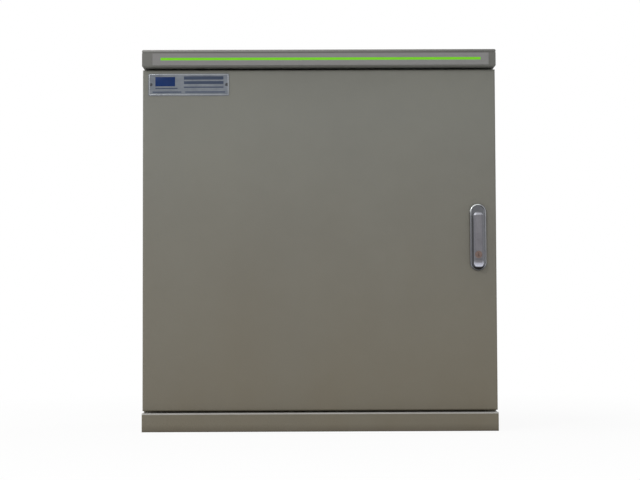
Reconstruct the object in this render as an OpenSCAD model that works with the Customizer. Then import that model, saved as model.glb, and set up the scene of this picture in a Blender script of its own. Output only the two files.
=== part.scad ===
// Roadside utility cabinet: a folded steel housing on a plinth, with a rain hood, one hinged
// door, a swing-lever latch that drives two rods, and a mounting plate inside.
// Millimetres. The front faces -Y and +Z is up. The origin is on the ground, mid width and depth.

/* [Overall] */
// Width across the hood and the plinth
width = 700; // [600:10:900]
// Height from the ground to the top of the hood
height = 754; // [650:1:1000]
// Depth from the face of the fascia to the back of the hood
depth = 420; // [360:10:600]

/* [Sheet metal] */
// Thickness of the casing panels
sheet_t = 1.5; // [1:0.1:2]
// Thickness of the door skin
door_t = 2; // [1.5:0.1:2.5]
// Thickness of the plinth rails
plinth_t = 2; // [1.5:0.1:3]
// Inner radius of the folds
bend_r = 0.8; // [0.6:0.1:2]

/* [Plinth] */
// Height of the plinth
plinth_h = 36.5; // [30:0.5:80]
// Depth of the rear rail
plinth_rear_d = 60; // [50:1:80]
// Width of the side rails
plinth_side_w = 45; // [35:1:60]
// How far the front rail reaches under the casing
plinth_lap = 24; // [20:1:34]
// Radius of the anchor holes
anchor_r = 7; // [5:0.5:9]
// Distance of the anchor holes from the ends of the rails
anchor_end = 50; // [40:1:90]
// Distance of the anchor holes from the front and rear faces
anchor_inset = 40; // [28:1:46]

/* [Hood] */
// Height of the hood
hood_h = 35; // [34:0.5:60]
// Thickness of the hood sheet
hood_t = 1.5; // [1:0.1:2]
// Radius of the hood's upper edges at the front and the back
hood_top_r = 4.5; // [3:0.5:6]
// Radius of the hood's lower edges at the front and the back, where the skirt turns in
hood_low_r = 4; // [3:0.5:6]
// Radius of the hood's edges at its left and right ends
hood_end_r = 3; // [2.5:0.5:5]
// Distance of the seam below the top of the hood
seam_drop = 5.3; // [5:0.1:5.8]
// Height of the seam
seam_h = 1.8; // [1:0.1:2.2]
// Depth of the seam
seam_d = 0.8; // [0.4:0.1:0.9]
// Width of the turned-in flange under the hood's sides and back
hood_flange = 14; // [10:1:24]
// How far the hood's front flange laps over the casing
hood_lap = 15; // [6:1:18]
// Gap between the hood and the casing
hood_gap = 3.5; // [2:0.5:6]
// How far the hood and the plinth stand in front of the door
front_overhang = 16; // [16:1:30]
// How far the hood stands behind the casing
rear_overhang = 10; // [8:1:20]
// Distance of the hood brackets from the middle
bracket_x = 220; // [150:5:250]

/* [Fascia] */
// Thickness of the fascia strip
fascia_t = 1.2; // [0.8:0.1:2]
// Height of the fascia strip
fascia_h = 23.8; // [18:0.2:24]
// Distance of the fascia strip below the top of the hood
fascia_drop = 7.8; // [6:0.2:8]
// Bare hood to the left of the fascia strip
fascia_left = 20.8; // [10:0.2:40]
// Bare hood to the right of the fascia strip
fascia_right = 14; // [10:0.2:40]
// Height of the accent line
accent_h = 5.2; // [4:0.2:10]
// Bare fascia at each end of the accent line
accent_end = 16; // [8:1:40]
// Height of the accent line above the middle of the fascia
accent_rise = 0.5; // [-3:0.1:3]

/* [Door] */
// How much narrower the door and the casing are than the hood, on each side
body_inset = 0; // [0:0.5:10]
// Depth of the door
door_d = 22; // [20:1:26]
// Gap between the door's edge and the casing
door_gap = 6.5; // [6.5:0.5:10]
// Gap between the door and the plinth
door_low_gap = 3.8; // [3:0.1:8]
// Thickness of the door seal
seal_t = 7.7; // [6:0.1:9]
// Width of the door seal
seal_w = 10; // [8:0.5:10.5]
// Distance of the stiffeners from the middle of the door
stiffener_x = 150; // [80:5:220]
// Width of a stiffener's web
stiffener_w = 32; // [24:1:50]
// Depth of a stiffener
stiffener_d = 14; // [8:1:18]

/* [Nameplate] */
// Width of the nameplate
nameplate_w = 160; // [80:1:200]
// Height of the nameplate
nameplate_h = 44; // [30:1:60]
// Thickness of the nameplate
nameplate_t = 1; // [0.6:0.1:2]
// Distance of the nameplate from the door's left edge
nameplate_left = 11.4; // [8:0.2:60]
// Distance of the nameplate from the door's upper edge
nameplate_drop = 7.3; // [5:0.1:60]

/* [Hinges] */
// Distance of the hinge axis from the casing's outer side
hinge_inset = 8.5; // [8:0.1:9]
// Distance of the hinge axis in front of the door's rear edge
hinge_back = 5; // [4:0.5:6]
// Length of a hinge
hinge_len = 60; // [50:1:90]
// Radius of the hinge knuckles
knuckle_r = 4; // [3.5:0.1:4.1]
// Radius of the hinge pins
hinge_pin_r = 2.5; // [2:0.1:2.7]
// Height of the hinge centres from the ends of the door
hinge_end = 95; // [70:1:180]

/* [Handle] */
// Distance of the handle's middle from the door's right edge
handle_inset = 36.5; // [33.5:0.5:45]
// Height of the dish's middle above the door's lower edge
handle_rise = 340.5; // [250:0.5:400]
// Length of the dish
dish_len = 132; // [125:1:150]
// Width of the dish
dish_w = 32.4; // [31:0.2:36]
// Width of the dish's rim
rim_w = 3; // [3:0.1:4.5]
// Height of the rim above the gasket
rim_h = 4.5; // [4:0.1:5]
// Width of the lever
lever_w = 19.4; // [17.5:0.1:20]
// Thickness of the lever
lever_t = 7.4; // [7:0.1:8]
// Length of the lever below the spindle
lever_reach = 100.6; // [98:0.2:101]
// How far the finger lip stands out at the lever's end
lever_lip = 2.1; // [1:0.1:2.4]
// Distance of the lock cylinder below the spindle
lock_drop = 75; // [60:1:76]
// Radius of the lock cylinder
lock_r = 7.2; // [5:0.1:7.5]

/* [Latch rods] */
// Width of a latch rod
rod_w = 10; // [8:0.5:10]
// Thickness of a latch rod
rod_t = 3; // [2:0.5:4]
// Distance of the cam's pins from the spindle's axis
crank_r = 9; // [8.5:0.1:9.2]
// Distance of the rod guides from the ends of the casing
guide_end = 75; // [60:1:140]

/* [Ventilation] */
// Louvres in one group
louvre_count = 6; // [3:1:8]
// Spacing of the louvres
louvre_pitch = 20; // [18:1:26]
// Height of a louvre
louvre_h = 12; // [10:0.5:14]
// Length of a louvre
louvre_len = 150; // [80:5:200]
// How far a louvre stands out of the rear panel
louvre_d = 5.4; // [4:0.1:7]
// Distance of the louvre groups from the middle of the rear panel
louvre_x = 130; // [110:5:150]
// Distance of the louvre groups from the ends of the casing
louvre_end = 90; // [70:5:150]

/* [Cable entry] */
// Width of the gland plate
gland_w = 380; // [300:10:460]
// Depth of the gland plate
gland_d = 150; // [120:5:180]
// Radius of the grommet holes
grommet_r = 20; // [14:1:24]

/* [Inside] */
// Bare width between the door opening and the mounting plate
plate_margin = 30; // [20:1:80]
// Thickness of the mounting plate
plate_t = 2.5; // [2:0.1:3]
// Distance of the mounting plate's face from the rear panel
plate_standoff = 34; // [26:1:60]
// Bare plate at each end of a rail
rail_end = 40; // [20:5:100]

/* [Clearances] */
// Radial play of pins and shafts in their bores
run_clear = 0.05; // [0.02:0.01:0.09]
// Play round rods, bolts and bosses
loose_clear = 0.4; // [0.3:0.05:0.6]

/* [Hidden] */
$fn = 64;

// Reach of every cut past the face that it opens
overrun = 6;

// Colours
paint = [0.46, 0.46, 0.43];
fascia_grey = [0.53, 0.53, 0.52];
green = [0.5, 0.82, 0.22];
zinc = [0.7, 0.71, 0.72];
satin = [0.62, 0.62, 0.62];
rubber = [0.1, 0.1, 0.1];
brass = [0.72, 0.56, 0.4];
nylon = [0.16, 0.16, 0.17];
felt = [0.82, 0.82, 0.78];

// Planes of the housing, from front to back, out from the middle and upwards
y_hood = -depth / 2 + fascia_t;
y_door = y_hood + front_overhang;
y_skin = y_door + door_t;
y_door_back = y_door + door_d;
y_flange = y_door_back + door_gap;
seal_clear = 0.3;
y_lip = y_skin + seal_t + seal_clear;
y_hood_back = depth / 2;
y_back = y_hood_back - rear_overhang;
y_rear = y_back - sheet_t;
x_side = width / 2;
x_body = x_side - body_inset;
x_wall = x_body - sheet_t;
z_floor = plinth_h;
z_hood = height - hood_h;
z_roof = z_hood - hood_gap;
z_door = z_floor + door_low_gap;

// The lip round the door opening: its outer face, its inner face and its height range
lip_offset = 17;
flange_w = lip_offset + sheet_t;
x_lip = x_body - lip_offset;
x_open = x_body - flange_w;
z_open = [z_floor + flange_w, z_roof - flange_w];

// Fasteners: shank radius, head radius, head height, corners of a hexagon
bolt_r = 4;
bolt_head_r = 7.5;
bolt_head_h = 5.3;
bolt_tail = 2;
screw_r = 2.5;
screw_head_r = 4.8;
screw_head_h = 2.8;
head_taper_share = 0.8;
hex = 6;

// Plinth
y_plinth_front = y_flange + plinth_lap;
y_plinth_rear = y_back - plinth_rear_d;
x_anchor = x_side - anchor_end;
y_anchors = [y_hood + anchor_inset, y_back - anchor_inset];
plinth_bolt_x = x_body - plinth_side_w;
y_plinth_bolts = [y_flange + plinth_lap / 2, y_back - plinth_rear_d / 2];

// Hood brackets
bracket_w = 28;
bracket_ys = [y_flange + plinth_lap, y_rear - plinth_lap];
bracket_bolt_x = bracket_x - bracket_w / 2;
bracket_bolt_inset = 40;
bracket_bolt_ys = [bracket_ys[0] + bracket_bolt_inset, bracket_ys[1] - bracket_bolt_inset];

// Rear panel screws along the sides and along the top and bottom
rear_screw_x = x_body - flange_w / 2;
rear_screw_rows = 4;
rear_screw_columns = 3;
rear_screw_tail = 4;

// Louvres: a slanted hood over a slit, closed at its ends
louvre_drop = sheet_t * 2;
louvre_slit = sheet_t / 3;
louvre_rows = [for (i = [0:louvre_count - 1]) i * louvre_pitch];
louvre_span = (louvre_count - 1) * louvre_pitch + louvre_h;
z_louvres = [z_floor + louvre_end + louvre_h, z_roof - louvre_end - louvre_span + louvre_h];
filter_t = 9;
filter_rim = 8;
filter_recess = 2;

// Cable entry
gland_y = (y_flange + y_rear) / 2;
gland_edge = 22;
gasket_t = 2;
gland_plate_t = 2;
z_gland = z_floor + sheet_t + gasket_t;
gland_screw_columns = 3;
grommet_count = 4;
grommet_lip = 4;
grommet_lip_t = 3;
grommet_step_h = 5;
grommet_steps = 2;

// Mounting plate, its studs and the rails on it
y_plate = y_rear - plate_standoff;
x_plate = x_open - plate_margin;
z_plate = [z_open[0] + plate_margin, z_open[1] - plate_margin];
plate_fold = 12;
stud_inset = 26;
stud_r = 4;
stud_collar_r = 7;
stud_tail = 12;
nut_r = 7.5;
nut_h = 6.5;
washer_r = 9;
washer_t = 1.6;
rail_h = 35;
rail_web = 27;
rail_d = 7.5;
rail_t = 1;
rail_shares = [0.42, 0.78];
rail_pitch = 25;
rail_slot_w = 6.2;
rail_slot_len = 15;
earth_share = 0.12;
earth_len = 220;
earth_h = 14;
earth_t = 7;
earth_foot = 8;
earth_foot_w = 16;
earth_screws = 9;

// Hinges
x_hinge = -x_body + hinge_inset;
y_hinge = y_door_back - hinge_back;
hinge_zs = [z_door + hinge_end, z_roof - hinge_end];
leaf_t = 2;
leaf_arm = 5;
leaf_tail = 2.5;
knuckle_share = 0.3;
hinge_play = 0.5;
pin_head_h = 2;

// Door
stiffener_t = 1.2;
stiffener_brim = 12;
stiffener_margin = 60;
stiffener_hole_r = 4;
stiffener_pitch = 50;

// Nameplate
nameplate_r = 2.5;
rivet_r = 1.6;
rivet_head_r = 3;
rivet_head_h = 1;
rivet_inset = 5;
x_nameplate = -x_body + nameplate_left;
z_nameplate = z_roof - nameplate_drop - nameplate_h;

// Handle: every value here counts outwards from the door's front face
x_handle = x_body - handle_inset;
z_dish = z_door + handle_rise;
dish_gasket_t = 1;
dish_base_t = 2;
dish_floor = dish_gasket_t + dish_base_t;
rim_top = dish_gasket_t + rim_h;
lever_gap = 0.3;
lever_back = rim_top + lever_gap;
lever_front = lever_back + lever_t;
axis_drop = 25.6;
z_axis = z_dish + dish_len / 2 - axis_drop;
boss_r = 9;
boss_back = 8;
shaft_r = 6;
rotor_r = 10.5;
rotor_t = 1.4;
rotor_gap = 0.1;
tilt_pin_r = 1.5;
tilt_pin_out = lever_back + lever_t / 2;
lug_w = 6;
lug_r = 2.5;
lug_swing = 0.5;
clamp_t = 2.5;
clamp_w = 22;
clamp_screw_r = 2.5;
clamp_head_r = 4.5;
clamp_head_h = 3;
clamp_boss_r = 4.5;
clamp_bite = 2.5;
clamp_drops = [30, 88];

// Lever
lever_end_flat = 1;
lever_corner_r = (lever_w - lever_end_flat) / 2;
lever_bevel_w = 3.2;
lever_bevel_d = 1.4;
lever_scoop = 88;
scoop_d = 0.5;
lip_flat = 1.2;
lip_edge_share = 0.9;
lever_nose_t = 1.2;
lip_run = lever_reach - lip_flat - lever_scoop;
lip_rise = lever_lip + scoop_d;
scoop_r = (lip_run * lip_run + lip_rise * lip_rise) / (2 * lip_rise);
lock_recess = 0.8;
keyway_w = 1.6;
keyway_len = 8;
keyway_d = 4;

// Cam and rods: these count inwards from the door's front face
cam_gap = 3.4;
cam_front = boss_back + cam_gap;
cam_t = 3;
cam_back = cam_front + cam_t;
square_w = 8;
cam_pin_r = 2.5;
cam_eye_r = 4.5;
cam_head_r = 4;
cam_head_t = 1;
cam_angle = 45;
rod_front = cam_back + loose_clear;
rod_back = rod_front + rod_t;
crank_x = crank_r * cos(cam_angle);
crank_z = crank_r * sin(cam_angle);
slot_clear = 0.45;
rod_wall = 1.8;
rod_eye_wall = 3;
rod_slot = [crank_x - cam_pin_r - slot_clear, crank_r + cam_pin_r + slot_clear];
rod_slot_h = cam_pin_r + slot_clear;
rod_shift = 6.5;
rod_stop = 0.8;
rod_taper = 6;
rod_tip_share = 0.6;
guide_h = 16;
guide_wall = 2;
guide_stem = 8;
guide_shoulder = 12;
keeper_t = 2;
keeper_wall = 4;

// Shared shapes

// Box between two values on each axis
module span_box(xs, ys, zs)
    translate([xs[0], ys[0], zs[0]])
        cube([xs[1] - xs[0], ys[1] - ys[0], zs[1] - zs[0]]);

// Rectangle between two values on each axis
module span_rect(us, vs)
    translate([us[0], vs[0]])
        square([us[1] - us[0], vs[1] - vs[0]]);

// A profile drawn in (y, z), run along x
module along_x(xs)
    translate([xs[0], 0, 0])
        rotate([90, 0, 90])
            linear_extrude(xs[1] - xs[0])
                children();

// A profile drawn in (x, z), run along y
module along_y(ys)
    translate([0, ys[1], 0])
        rotate([90, 0, 0])
            linear_extrude(ys[1] - ys[0])
                children();

// A profile drawn in (x, y), run along z
module along_z(zs)
    translate([0, 0, zs[0]])
        linear_extrude(zs[1] - zs[0])
            children();

// A profile drawn in (x, z), run outwards from the door's front face between two distances
module out_of_door(from, to)
    along_y([y_door - to, y_door - from])
        children();

// Cylinder along y between two distances out of the door
module out_pin(x, z, r, from, to)
    translate([x, y_door - from, z])
        rotate([90, 0, 0])
            cylinder(r = r, h = to - from);

// Exchanges the two axes of a flat shape
module swap()
    mirror([1, -1, 0])
        children();

// Rectangle with round corners at its low and at its high v side
module round_rect(us, vs, low_r, high_r = 0) {
    span_rect(us, [vs[0] + low_r, vs[1] - high_r]);
    span_rect([us[0] + low_r, us[1] - low_r], [vs[0], vs[1] - high_r]);
    for (u = [us[0] + low_r, us[1] - low_r])
        translate([u, vs[0] + low_r])
            circle(low_r);
    if (high_r > 0) {
        span_rect([us[0] + high_r, us[1] - high_r], [vs[0] + low_r, vs[1]]);
        for (u = [us[0] + high_r, us[1] - high_r])
            translate([u, vs[1] - high_r])
                circle(high_r);
    }
}

// Folded channel section, open towards high u
module channel(us, vs, t)
    difference() {
        swap() round_rect(vs, us, bend_r + t);
        swap() round_rect([vs[0] + t, vs[1] - t], [us[0] + t, us[1] + overrun], bend_r);
    }

// Box with bent edges round its low y face
module bent_box(xs, ys, zs, r)
    intersection() {
        along_z(zs) round_rect(xs, ys, r);
        along_x(xs) swap() round_rect(zs, ys, r);
    }

// Folded pan of sheet, open at its high y side
module pan(xs, ys, zs, t)
    difference() {
        bent_box(xs, ys, zs, bend_r + t);
        bent_box(
            [xs[0] + t, xs[1] - t],
            [ys[0] + t, ys[1] + overrun],
            [zs[0] + t, zs[1] - t],
            bend_r
        );
    }

// Slot outline along u with round ends
module slot(len, w) {
    square([len - w, w], center = true);
    for (side = [-1, 1])
        translate([side * (len - w) / 2, 0])
            circle(w / 2);
}

// Round-ended outline of the dish family, about the dish's middle
module dish_outline(inset)
    translate([x_handle, z_dish])
        rotate(90)
            slot(dish_len - 2 * inset, dish_w - 2 * inset);

// Each pair of places, mirrored in x, at each y
module each_corner(x, ys)
    for (side = [-1, 1], y = ys)
        translate([side * x, y, 0])
            children();

// Vertical bolt with a hexagon head on top of a joint and a nut under it
module joint_bolt(z_high, z_low) {
    translate([0, 0, z_high])
        cylinder(r = bolt_head_r, h = bolt_head_h, $fn = hex);
    translate([0, 0, z_low - bolt_head_h - bolt_tail])
        cylinder(r = bolt_r, h = z_high - z_low + bolt_head_h + 2 * bolt_tail);
    translate([0, 0, z_low - bolt_head_h])
        cylinder(r = bolt_head_r, h = bolt_head_h, $fn = hex);
}

// Places of the rear panel's screws, as (x, z)
function rear_screw_places() = concat(
    [for (side = [-1, 1], i = [0:rear_screw_rows - 1])
        [side * rear_screw_x, z_open[0] + (z_open[1] - z_open[0]) * i / (rear_screw_rows - 1)]],
    [for (z = [z_floor + flange_w / 2, z_roof - flange_w / 2], i = [1:rear_screw_columns])
        [x_open * (2 * i / (rear_screw_columns + 1) - 1), z]]
);

// Plinth

module plinth_holes() {
    each_corner(x_anchor, y_anchors)
        translate([0, 0, -overrun])
            cylinder(r = anchor_r, h = overrun + plinth_h / 2);
    each_corner(plinth_bolt_x, y_plinth_bolts)
        translate([0, 0, plinth_h / 2])
            cylinder(r = bolt_r + loose_clear, h = plinth_h);
}

module plinth_front_rail()
    color(paint) difference() {
        pan([-x_side, x_side], [y_hood, y_plinth_front], [0, plinth_h], plinth_t);
        plinth_holes();
    }

module plinth_rear_rail()
    color(paint) difference() {
        mirror([0, 1, 0]) pan([-x_side, x_side], [-y_back, -y_plinth_rear], [0, plinth_h], plinth_t);
        plinth_holes();
    }

module plinth_side_rail()
    along_y([y_plinth_front, y_plinth_rear])
        channel([-x_side, -x_side + plinth_side_w], [0, plinth_h], plinth_t);

module plinth_left_rail() color(paint) plinth_side_rail();

module plinth_right_rail() color(paint) mirror([1, 0, 0]) plinth_side_rail();

module plinth_bolts()
    color(zinc) each_corner(plinth_bolt_x, y_plinth_bolts)
        joint_bolt(z_floor + sheet_t, z_floor - plinth_t);

// Casing

module side_panel()
    difference() {
        union() {
            along_z([z_floor, z_roof]) channel([-x_body, -x_open], [y_flange, y_rear], sheet_t);
            along_z([z_floor + lip_offset, z_roof - lip_offset])
                span_rect([-x_lip, -x_open], [y_lip, y_flange + sheet_t]);
        }
        rear_screw_holes();
    }

module left_side_panel() color(paint) side_panel();

module right_side_panel() color(paint) mirror([1, 0, 0]) side_panel();

module rear_screw_holes()
    for (place = rear_screw_places())
        translate([place[0], y_back + overrun, place[1]])
            rotate([90, 0, 0])
                cylinder(r = screw_r + loose_clear, h = 2 * overrun + 2 * sheet_t);

// Each louvre of the rear panel, placed by the middle of its upper edge
module each_louvre()
    for (side = [-1, 1], z = z_louvres, row = louvre_rows)
        translate([side * louvre_x, y_back, z + row])
            children();

// Slanted outside of one louvre
module louvre_skin()
    along_x([-louvre_len / 2, louvre_len / 2])
        polygon([[-sheet_t / 2, 0], [0, 0], [louvre_d, -louvre_h], [-sheet_t / 2, -louvre_h]]);

// Slit and hollow of one louvre, between its closed ends
module louvre_hollow() {
    reach = louvre_d * (1 - louvre_drop / louvre_h);
    along_x([-louvre_len / 2 + sheet_t, louvre_len / 2 - sheet_t])
        polygon([
            [-sheet_t - overrun, -louvre_drop],
            [0, -louvre_drop],
            [reach, -louvre_h],
            [reach, -louvre_h - louvre_slit],
            [-sheet_t - overrun, -louvre_h - louvre_slit]
        ]);
}

module rear_panel()
    color(paint) difference() {
        union() {
            span_box([-x_body, x_body], [y_rear, y_back], [z_floor, z_roof]);
            each_louvre() louvre_skin();
        }
        each_louvre() louvre_hollow();
        rear_screw_holes();
    }

module rear_panel_screws()
    color(zinc) for (place = rear_screw_places())
        translate([place[0], y_back, place[1]])
            rotate([90, 0, 0]) {
                translate([0, 0, -screw_head_h])
                    cylinder(r1 = screw_head_r * head_taper_share, r2 = screw_head_r, h = screw_head_h);
                cylinder(r = screw_r, h = 2 * sheet_t + rear_screw_tail);
            }

// Passage of a latch rod, about one x and between two heights
module rod_passage(x, zs)
    span_box(
        [x - rod_w / 2 - loose_clear, x + rod_w / 2 + loose_clear],
        [y_door + rod_front - loose_clear, y_door + rod_back + loose_clear],
        [zs[0] - overrun, zs[1] + overrun]
    );

module roof_deck()
    color(paint) difference() {
        union() {
            along_x([-x_open, x_open])
                rotate(-90) channel([-z_roof, -z_open[1]], [y_flange, y_rear], sheet_t);
            span_box([-x_wall, x_wall], [y_flange + sheet_t, y_rear - sheet_t], [z_roof - sheet_t, z_roof]);
            span_box([-x_open, x_open], [y_lip, y_flange + sheet_t], [z_open[1], z_open[1] + sheet_t]);
        }
        rod_passage(x_handle + rod_shift, [z_open[1], z_open[1] + sheet_t]);
        rear_screw_holes();
        bracket_bolt_holes();
    }

module floor_pan()
    color(paint) difference() {
        union() {
            along_x([-x_open, x_open]) swap() channel([z_floor, z_open[0]], [y_flange, y_rear], sheet_t);
            span_box([-x_wall, x_wall], [y_flange + sheet_t, y_rear - sheet_t], [z_floor, z_floor + sheet_t]);
            span_box([-x_open, x_open], [y_lip, y_flange + sheet_t], [z_open[0] - sheet_t, z_open[0]]);
        }
        rod_passage(x_handle - rod_shift, [z_open[0] - sheet_t, z_open[0]]);
        rear_screw_holes();
        each_corner(plinth_bolt_x, y_plinth_bolts)
            translate([0, 0, z_floor - overrun])
                cylinder(r = bolt_r + loose_clear, h = 2 * overrun);
        gland_window();
        gland_screw_holes();
    }

// Hood and fascia

module hood_block(inset) {
    xs = [-x_side + inset, x_side - inset];
    ys = [y_hood + inset, y_hood_back - inset];
    zs = [z_hood + inset, height - inset];
    intersection() {
        along_y(ys) round_rect(xs, zs, hood_end_r - inset, hood_end_r - inset);
        along_x(xs) round_rect(ys, zs, hood_low_r - inset, hood_top_r - inset);
    }
}

// Groove round the hood, under its top
module hood_seam() {
    zs = [height - seam_drop - seam_h, height - seam_drop];
    difference() {
        span_box([-x_side - overrun, x_side + overrun], [y_hood - overrun, y_hood_back + overrun], zs);
        span_box(
            [-x_side + seam_d, x_side - seam_d],
            [y_hood + seam_d, y_hood_back - seam_d],
            [zs[0] - overrun, zs[1] + overrun]
        );
    }
}

module hood()
    color(paint) difference() {
        hood_block(0);
        hood_block(hood_t);
        hood_seam();
        span_box(
            [-x_side + hood_flange, x_side - hood_flange],
            [y_flange + hood_lap, y_hood_back - hood_flange],
            [z_hood - overrun, z_hood + hood_h / 2]
        );
    }

module hood_bracket()
    difference() {
        along_y(bracket_ys)
            channel([-bracket_x, -bracket_x + bracket_w], [z_roof, height - hood_t], hood_t);
        bracket_bolt_holes();
    }

module bracket_bolt_holes()
    each_corner(bracket_bolt_x, bracket_bolt_ys)
        translate([0, 0, z_roof - overrun])
            cylinder(r = bolt_r + loose_clear, h = 2 * overrun);

module hood_bracket_left() color(zinc) hood_bracket();

module hood_bracket_right() color(zinc) mirror([1, 0, 0]) hood_bracket();

module hood_bolts()
    color(zinc) each_corner(bracket_bolt_x, bracket_bolt_ys)
        joint_bolt(z_roof + hood_t, z_roof - sheet_t);

fascia_xs = [-x_side + fascia_left, x_side - fascia_right];
fascia_zs = [height - fascia_drop - fascia_h, height - fascia_drop];
accent_xs = [fascia_xs[0] + accent_end, fascia_xs[1] - accent_end];
accent_z = (fascia_zs[0] + fascia_zs[1]) / 2 + accent_rise;
accent_zs = [accent_z - accent_h / 2, accent_z + accent_h / 2];

module fascia_strip()
    color(fascia_grey) difference() {
        span_box(fascia_xs, [y_hood - fascia_t, y_hood], fascia_zs);
        span_box(accent_xs, [y_hood - fascia_t - overrun, y_hood - fascia_t / 2], accent_zs);
    }

module accent_strip()
    color(green) span_box(accent_xs, [y_hood - fascia_t, y_hood - fascia_t / 2], accent_zs);

// Cable entry

module gland_window()
    translate([0, gland_y, z_floor - overrun])
        linear_extrude(2 * overrun)
            square([gland_w - 2 * gland_edge, gland_d - 2 * gland_edge], center = true);

module each_gland_screw()
    for (side = [-1, 1], i = [0:gland_screw_columns - 1])
        translate([
            (gland_w - gland_edge) * (i / (gland_screw_columns - 1) - 1 / 2),
            gland_y + side * (gland_d - gland_edge) / 2,
            0
        ])
            children();

module gland_screw_holes()
    each_gland_screw()
        translate([0, 0, z_floor - overrun])
            cylinder(r = screw_r + loose_clear, h = 3 * overrun);

module each_grommet()
    for (i = [0:grommet_count - 1])
        translate([
            (gland_w - 2 * gland_edge) * ((i + 1 / 2) / grommet_count - 1 / 2),
            gland_y,
            z_gland
        ])
            children();

module gland_gasket()
    color(rubber) difference() {
        translate([0, gland_y, z_floor + sheet_t])
            linear_extrude(gasket_t)
                square([gland_w, gland_d], center = true);
        gland_window();
        gland_screw_holes();
    }

module gland_plate()
    color(zinc) difference() {
        translate([0, gland_y, z_gland])
            linear_extrude(gland_plate_t)
                square([gland_w, gland_d], center = true);
        gland_screw_holes();
        each_grommet()
            translate([0, 0, -overrun])
                cylinder(r = grommet_r, h = 2 * overrun);
    }

module gland_plate_screws()
    color(zinc) each_gland_screw() {
        translate([0, 0, z_gland + gland_plate_t])
            cylinder(r1 = screw_head_r, r2 = screw_head_r * head_taper_share, h = screw_head_h);
        translate([0, 0, z_floor - rear_screw_tail])
            cylinder(r = screw_r, h = z_gland + gland_plate_t - z_floor + rear_screw_tail);
    }

// Closed stepped grommet: a groove holds the plate, and the steps hang below it
module cable_grommets()
    color(rubber) each_grommet() {
        translate([0, 0, gland_plate_t])
            cylinder(r = grommet_r + grommet_lip, h = grommet_lip_t);
        cylinder(r = grommet_r, h = gland_plate_t);
        translate([0, 0, -grommet_lip_t])
            cylinder(r = grommet_r + grommet_lip / 2, h = grommet_lip_t);
        for (i = [1:grommet_steps])
            translate([0, 0, -grommet_lip_t - i * grommet_step_h])
                cylinder(r = grommet_r * (1 - i / (grommet_steps + 1)), h = grommet_step_h);
    }

// Ventilation

// Filter mats in their frames, on the rear panel behind one height of louvre groups
module filter_pair(z) {
    half_w = louvre_len / 2 + filter_rim;
    zs = [z - louvre_h - filter_rim, z - louvre_h + louvre_span + filter_rim];
    for (side = [-1, 1])
        translate([side * louvre_x, 0, 0])
            difference() {
                span_box([-half_w, half_w], [y_rear - filter_t, y_rear], zs);
                span_box(
                    [-half_w + filter_rim, half_w - filter_rim],
                    [y_rear - filter_t - overrun, y_rear - filter_t + filter_recess],
                    [zs[0] + filter_rim, zs[1] - filter_rim]
                );
            }
}

module upper_filters() color(felt) filter_pair(z_louvres[1]);

module lower_filters() color(felt) filter_pair(z_louvres[0]);

// Mounting plate and what it carries

stud_zs = [z_plate[0] + stud_inset, z_plate[1] - stud_inset];

module each_stud()
    for (side = [-1, 1], z = stud_zs)
        translate([side * (x_plate - stud_inset), y_plate, z])
            rotate([90, 0, 0])
                children();

module mounting_plate()
    color(zinc) difference() {
        along_z(z_plate) swap() channel([y_plate, y_plate + plate_fold], [-x_plate, x_plate], plate_t);
        each_stud()
            translate([0, 0, -overrun])
                cylinder(r = stud_r + loose_clear, h = 2 * overrun);
    }

module mounting_studs()
    color(zinc) each_stud() {
        translate([0, 0, -plate_standoff])
            cylinder(r = stud_collar_r, h = plate_standoff - plate_t);
        translate([0, 0, -plate_t])
            cylinder(r = stud_r, h = plate_t + stud_tail);
    }

module mounting_nuts()
    color(zinc) each_stud()
        difference() {
            union() {
                cylinder(r = washer_r, h = washer_t);
                translate([0, 0, washer_t])
                    cylinder(r = nut_r, h = nut_h, $fn = hex);
            }
            translate([0, 0, -overrun])
                cylinder(r = stud_r + run_clear, h = 4 * overrun);
        }

function rail_z(share) = z_plate[0] + (z_plate[1] - z_plate[0]) * share;
rail_half = x_plate - rail_end;
rail_slots = floor((2 * rail_half - rail_pitch) / rail_pitch);

// Top-hat rail with its slots, at one height on the plate
module top_hat_rail(z)
    difference() {
        along_x([-rail_half, rail_half])
            for (side = [0, 1])
                translate([y_plate, z])
                    mirror([0, side, 0]) {
                        span_rect([-rail_t, 0], [0, rail_web / 2]);
                        span_rect([-rail_d, 0], [rail_web / 2 - rail_t, rail_web / 2]);
                        span_rect([-rail_d, -rail_d + rail_t], [rail_web / 2 - rail_t, rail_h / 2]);
                    }
        for (i = [0:rail_slots - 1])
            translate([(i - (rail_slots - 1) / 2) * rail_pitch, 0, z])
                along_y([y_plate - overrun, y_plate + overrun])
                    slot(rail_slot_len, rail_slot_w);
    }

module upper_rail() color(zinc) top_hat_rail(rail_z(rail_shares[1]));

module lower_rail() color(zinc) top_hat_rail(rail_z(rail_shares[0]));

rail_screw_x = (rail_slots - 1) / 2 * rail_pitch;

module rail_screws()
    color(zinc) for (share = rail_shares, side = [-1, 1])
        translate([side * rail_screw_x, y_plate - rail_t, rail_z(share)])
            rotate([90, 0, 0])
                cylinder(r = screw_head_r, h = screw_head_h);

earth_z = rail_z(earth_share);
earth_front = y_plate - earth_foot - earth_t;

module earth_bar()
    color(brass) {
        span_box(
            [-earth_len / 2, earth_len / 2],
            [earth_front, y_plate - earth_foot],
            [earth_z - earth_h / 2, earth_z + earth_h / 2]
        );
        for (side = [-1, 1])
            translate([side * (earth_len - earth_foot_w) / 2, 0, 0])
                span_box(
                    [-earth_foot_w / 2, earth_foot_w / 2],
                    [y_plate - earth_foot, y_plate],
                    [earth_z - earth_h / 2, earth_z + earth_h / 2]
                );
    }

module earth_bar_screws()
    color(zinc) for (i = [0:earth_screws - 1])
        translate([(i / (earth_screws - 1) - 1 / 2) * (earth_len - earth_foot_w), earth_front, earth_z])
            rotate([90, 0, 0])
                cylinder(r = screw_head_r, h = screw_head_h);

// Keepers on the lip, where the latch rods pass

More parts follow.
